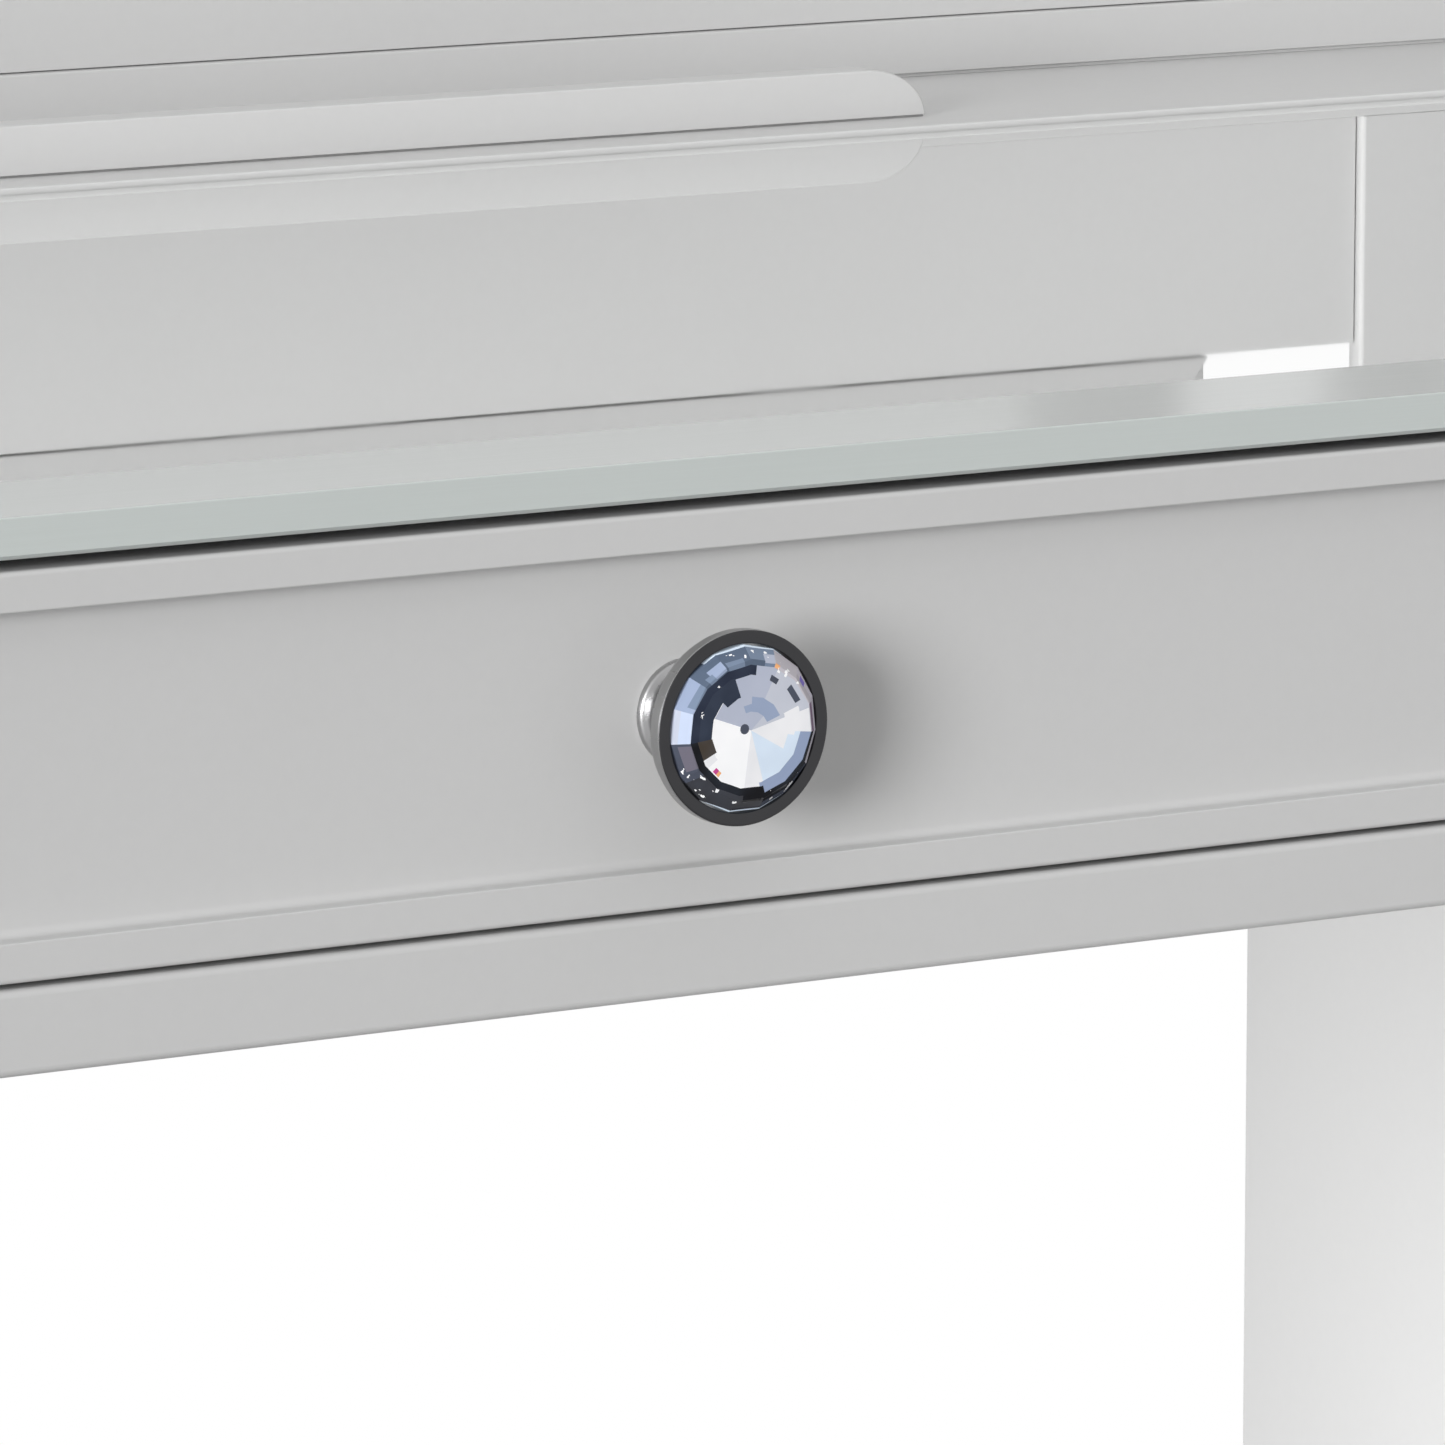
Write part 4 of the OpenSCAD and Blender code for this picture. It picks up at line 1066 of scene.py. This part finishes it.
class DRESSING_OT_knobs(TablePiece, Operator):
    """Turn the knobs and cut their crystals."""

    bl_idname = "dressing.knobs"
    bl_label = "Crystal knobs"

    def execute(self, context):
        for name in DRAWERS:
            self.knob(name)
        return {"FINISHED"}

    def knob(self, name):
        """One knob: the stem with its rosette and cup, the bezel ring, the crystal and the screw."""
        sizes, body = self.sizes, f"drawer_{name}"
        base_low, base_high = corners_of(f"knob_{name}_base")
        bezel_low, bezel_high = corners_of(f"knob_{name}_bezel")
        crystal_low = corners_of(f"knob_{name}_crystal")[0]
        middle = (bezel_low + bezel_high) / 2
        foot = np.array([middle[0], base_high[1], middle[2]])
        girdle = foot[1] - bezel_high[1]
        face = foot[1] - bezel_low[1]
        table = foot[1] - crystal_low[1]
        radius = (bezel_high[0] - bezel_low[0]) / 2
        rim = (base_high[0] - base_low[0]) / 2
        rosette, rosette_t, rosette_slope = 9 * MM, 2 * MM, 1.6 * MM
        neck, neck_l, flare, flare_l = 4.2 * MM, 3 * MM, 2.6 * MM, 1.2 * MM
        cup_l, bend, soft, fine = 0.9 * MM, 1.8 * MM, 0.5 * MM, 0.2 * MM
        stem = turned_outline(
            [(0, 0), (rosette, 0), (rosette, rosette_t * 0.55), (rosette - rosette_slope, rosette_t),
             (neck, rosette_t), (neck, rosette_t + neck_l * 0.7),
             (neck + flare, rosette_t + neck_l + flare_l),
             (rim, girdle - cup_l), (rim, girdle), (0, girdle)],
            [0, fine, soft, soft, 0.6 * MM, bend, bend, 0.25 * MM, 0.1 * MM, 0], sizes)
        lathe(f"knob_{name}_stem", stem, foot, FRONT, sizes, "brushed nickel", body,
              [f"knob_{name}_base"])
        inner, face_skin = 13.75 * MM, 0.12 * MM
        bezel = soft_outline(
            [(inner, girdle), (radius, girdle), (radius, face), (inner, face)],
            [fine, 0.35 * MM, 0.45 * MM, 0.3 * MM], sizes.edge_steps, sizes.hold)
        depth = (bezel[:, 1] + np.roll(bezel[:, 1], -1)) / 2
        wide = (bezel[:, 0] + np.roll(bezel[:, 0], -1)) / 2
        # Faces on the bezel's front take the nickel painted dark, a painted dark reflection; the rest of the
        # ring is plain brushed nickel.
        front = (depth > face - face_skin) | (wide < inner + fine)
        picks = np.repeat(np.where(front, 0, 1), sizes.round_steps)
        lathe(f"knob_{name}_ring", bezel, foot, FRONT, sizes, ["bezel_face_painted_dark", "brushed nickel"], body,
              [f"knob_{name}_bezel"], closed=True, picks=picks.tolist())
        self.crystal(name, foot, girdle, face, table)
        head_r, head_h = 4 * MM, 2.6 * MM
        slot_r, slot_edge, slot_deep, dip = 1.2 * MM, 1.7 * MM, 0.9 * MM, 1.5 * MM
        web = corners_of(f"drawer_{name}_front")[1][1] - foot[1]
        shank, tip = 2 * MM, 7 * MM
        screw = turned_outline(
            [(0, -web - head_h), (slot_r, -web - head_h), (dip, slot_deep - web - head_h),
             (slot_edge, -web - head_h), (head_r * 0.75, -web - head_h), (head_r, -web - head_h * 0.45),
             (head_r, -web), (shank, -web), (shank, tip), (0, tip)],
            [0, fine / 2, fine / 2, fine / 2, 0.6 * MM, soft, fine / 2, fine / 2, 0.3 * MM, 0], sizes)
        lathe(f"knob_{name}_screw_head", screw, foot, FRONT, sizes, "zinc steel", body,
              [f"knob_{name}_screw"])

    def crystal(self, name, foot, girdle, face, table):
        """A faceted crystal: rings of facet corners from the hidden tip to the flat table. Each facet is
        flat.
        Its map holds the place across the crystal, as shares of the bezel's width; the painted reflections
        lie on it."""
        turn = math.pi / 2 + np.arange(FACETS) * 2 * np.pi / FACETS
        girdle_r, table_r, tip_r, pavilion = 13.65 * MM, 11.5 * MM, 1.5 * MM, 6.4 * MM
        rows = [(tip_r, girdle - pavilion), (girdle_r, girdle), (girdle_r, face), (table_r, table)]
        flat = np.array([[r * np.cos(turn), r * np.sin(turn)] for r, _ in rows]).transpose(0, 2, 1)
        rings = stack(flat, [h for _, h in rows], foot, RIGHT, UP, FRONT)
        piece = ring_piece(f"knob_{name}_cut", rings, "cut crystal", f"drawer_{name}",
                           [f"knob_{name}_crystal"], smooth=False)
        mesh = piece.data
        loops = np.zeros(len(mesh.loops), int)
        mesh.loops.foreach_get("vertex_index", loops)
        places = np.zeros(len(mesh.vertices) * 3)
        mesh.vertices.foreach_get("co", places)
        places = places.reshape(-1, 3)[loops] - foot
        share = np.stack([places[:, 0], places[:, 2]], -1) / (CHART * MM)
        layer = mesh.uv_layers.new(name="cut")
        layer.data.foreach_set("uv", (share + 0.5).reshape(-1))


class DRESSING_OT_stage(TablePiece, Operator):
    """Make the floor, the studio light and the camera."""

    bl_idname = "dressing.stage"
    bl_label = "Stage"

    def execute(self, context):
        look = context.scene.dressing_stage
        self.floor(look)
        self.world(look)
        self.key(look)
        self.fill(look)
        self.camera(look)
        context.scene.view_settings.view_transform = "Standard"
        return {"FINISHED"}

    def floor(self, look):
        """A pale floor that keeps the shadow near the table and is plain white further off. The table
        itself sees a darker floor, which throws less light back at it."""
        reach = look.floor_reach
        points = np.array([[-reach, -reach, 0], [reach, -reach, 0], [reach, reach, 0], [-reach, reach, 0]])
        mesh = bpy.data.meshes.new("floor")
        mesh.from_pydata(points.tolist(), [], [(0, 1, 2, 3)])
        f = Finish("floor")
        grain = f.noise(f.place(), 60.0, 3.0)
        x, y, _ = f.axes(f.place())
        far = (x * x + y * y).step(look.floor_near ** 2, look.floor_far ** 2)
        path = f.node("ShaderNodeLightPath")
        seen = f.wire(path, "Is Camera Ray") + f.wire(path, "Is Glossy Ray")
        seen = (seen + f.wire(path, "Is Transmission Ray")).capped()
        pale = f.mix(grain, (0.80, 0.80, 0.80, 1), (0.83, 0.83, 0.83, 1))
        f.set(Base_Color=f.mix(seen, (0.35, 0.35, 0.35, 1), pale), Roughness=0.7)
        glow = f.node("ShaderNodeEmission", {}, {"Color": (1, 1, 1, 1), "Strength": 1.0})
        blend = f.node("ShaderNodeMixShader", {}, {0: far * seen})
        f.tree.links.new(f.shader.outputs[0], blend.inputs[1])
        f.tree.links.new(glow.outputs[0], blend.inputs[2])
        f.tree.links.new(blend.outputs[0], f.tree.nodes["Material Output"].inputs["Surface"])
        mesh.materials.append(f.material)
        floor = bpy.data.objects.new("floor", mesh)
        bpy.context.scene.collection.objects.link(floor)

    def world(self, look):
        """Sky light that grows from the horizon to the zenith; the camera, mirrors and glass see white."""
        world = bpy.data.worlds.new("studio")
        bpy.context.scene.world = world
        world.use_nodes = True
        tree = world.node_tree
        light = tree.nodes["Background"]
        light.inputs["Color"].default_value = (1, 1, 1, 1)
        way = tree.nodes.new("ShaderNodeTexCoord")
        parts = tree.nodes.new("ShaderNodeSeparateXYZ")
        tree.links.new(way.outputs["Generated"], parts.inputs[0])
        height = Wire(tree, parts.outputs[2])
        height = height.math("MAXIMUM", height, 0.0)
        strength = height * (look.zenith - look.horizon) + look.horizon
        tree.links.new(strength.socket, light.inputs["Strength"])
        white = tree.nodes.new("ShaderNodeBackground")
        white.inputs["Color"].default_value = (1, 1, 1, 1)
        white.inputs["Strength"].default_value = 1.0
        path = tree.nodes.new("ShaderNodeLightPath")
        seen = Wire(tree, path.outputs["Is Camera Ray"]) + Wire(tree, path.outputs["Is Glossy Ray"])
        seen = (seen + Wire(tree, path.outputs["Is Transmission Ray"])).capped()
        blend = tree.nodes.new("ShaderNodeMixShader")
        tree.links.new(seen.socket, blend.inputs[0])
        tree.links.new(light.outputs[0], blend.inputs[1])
        tree.links.new(white.outputs[0], blend.inputs[2])
        tree.links.new(blend.outputs[0], tree.nodes["World Output"].inputs["Surface"])

    def key(self, look):
        """One soft light, low from the left and a little in front."""
        lamp = bpy.data.lights.new("key", "SUN")
        lamp.energy = look.key
        lamp.angle = look.key_angle
        lamp_object = bpy.data.objects.new("key", lamp)
        lamp_object.rotation_mode = "QUATERNION"
        lamp_object.rotation_quaternion = Vector(look.key_from).to_track_quat("Z", "Y")
        bpy.context.scene.collection.objects.link(lamp_object)

    def fill(self, look):
        """A soft, narrow lamp in the kneehole, turned to the inner face of the right slab."""
        lamp = bpy.data.lights.new("fill", "AREA")
        lamp.energy = look.fill
        lamp.size = look.fill_size
        lamp.spread = look.fill_spread
        lamp_object = bpy.data.objects.new("fill", lamp)
        lamp_object.location = look.fill_place
        lamp_object.rotation_mode = "QUATERNION"
        lamp_object.rotation_quaternion = Vector(RIGHT).to_track_quat("-Z", "Y")
        lamp_object.visible_camera = False
        lamp_object.visible_glossy = False
        bpy.context.scene.collection.objects.link(lamp_object)

    def camera(self, look):
        """The photograph's view of the middle knob, from the left and above."""
        low, high = corners_of("knob_centre_bezel")
        target = np.array([(low[0] + high[0]) / 2, low[1], (low[2] + high[2]) / 2])
        camera = bpy.data.cameras.new("view")
        camera.lens = look.focal
        camera.sensor_width = 36.0
        camera.clip_end = 200.0
        camera_object = bpy.data.objects.new("view", camera)
        camera_object.location = target + np.array(look.stand_off)
        camera_object.rotation_euler = (math.pi / 2 - look.pitch, 0.0, -look.yaw)
        bpy.context.scene.collection.objects.link(camera_object)
        bpy.context.scene.camera = camera_object


class DRESSING_PT_panel(Panel):
    """Lists the operators in the sidebar of the 3D view."""

    bl_label = "Dressing table"
    bl_idname = "DRESSING_PT_panel"
    bl_space_type = "VIEW_3D"
    bl_region_type = "UI"
    bl_category = "Dressing table"

    def draw(self, context):
        for operator in OPERATORS:
            self.layout.operator(operator.bl_idname)


OPERATORS = (
    DRESSING_OT_stage,
    DRESSING_OT_finishes,
    DRESSING_OT_carcass,
    DRESSING_OT_glass,
    DRESSING_OT_rear_strip,
    DRESSING_OT_mirror_stand,
    DRESSING_OT_swing_mirror,
    DRESSING_OT_pivots,
    DRESSING_OT_drawers,
    DRESSING_OT_knobs,
)
GROUPS = (TableSizes, TableColours, StageSettings)


def register():
    for item in (*GROUPS, *OPERATORS, DRESSING_PT_panel):
        bpy.utils.register_class(item)
    bpy.types.Scene.dressing_sizes = PointerProperty(type=TableSizes)
    bpy.types.Scene.dressing_colours = PointerProperty(type=TableColours)
    bpy.types.Scene.dressing_stage = PointerProperty(type=StageSettings)


def unregister():
    del bpy.types.Scene.dressing_stage
    del bpy.types.Scene.dressing_colours
    del bpy.types.Scene.dressing_sizes
    for item in (DRESSING_PT_panel, *reversed(OPERATORS), *reversed(GROUPS)):
        bpy.utils.unregister_class(item)


def main():
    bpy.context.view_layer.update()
    register()
    for operator in OPERATORS:
        group, word = operator.bl_idname.split(".")
        getattr(getattr(bpy.ops, group), word)()


if __name__ == "__main__":
    main()
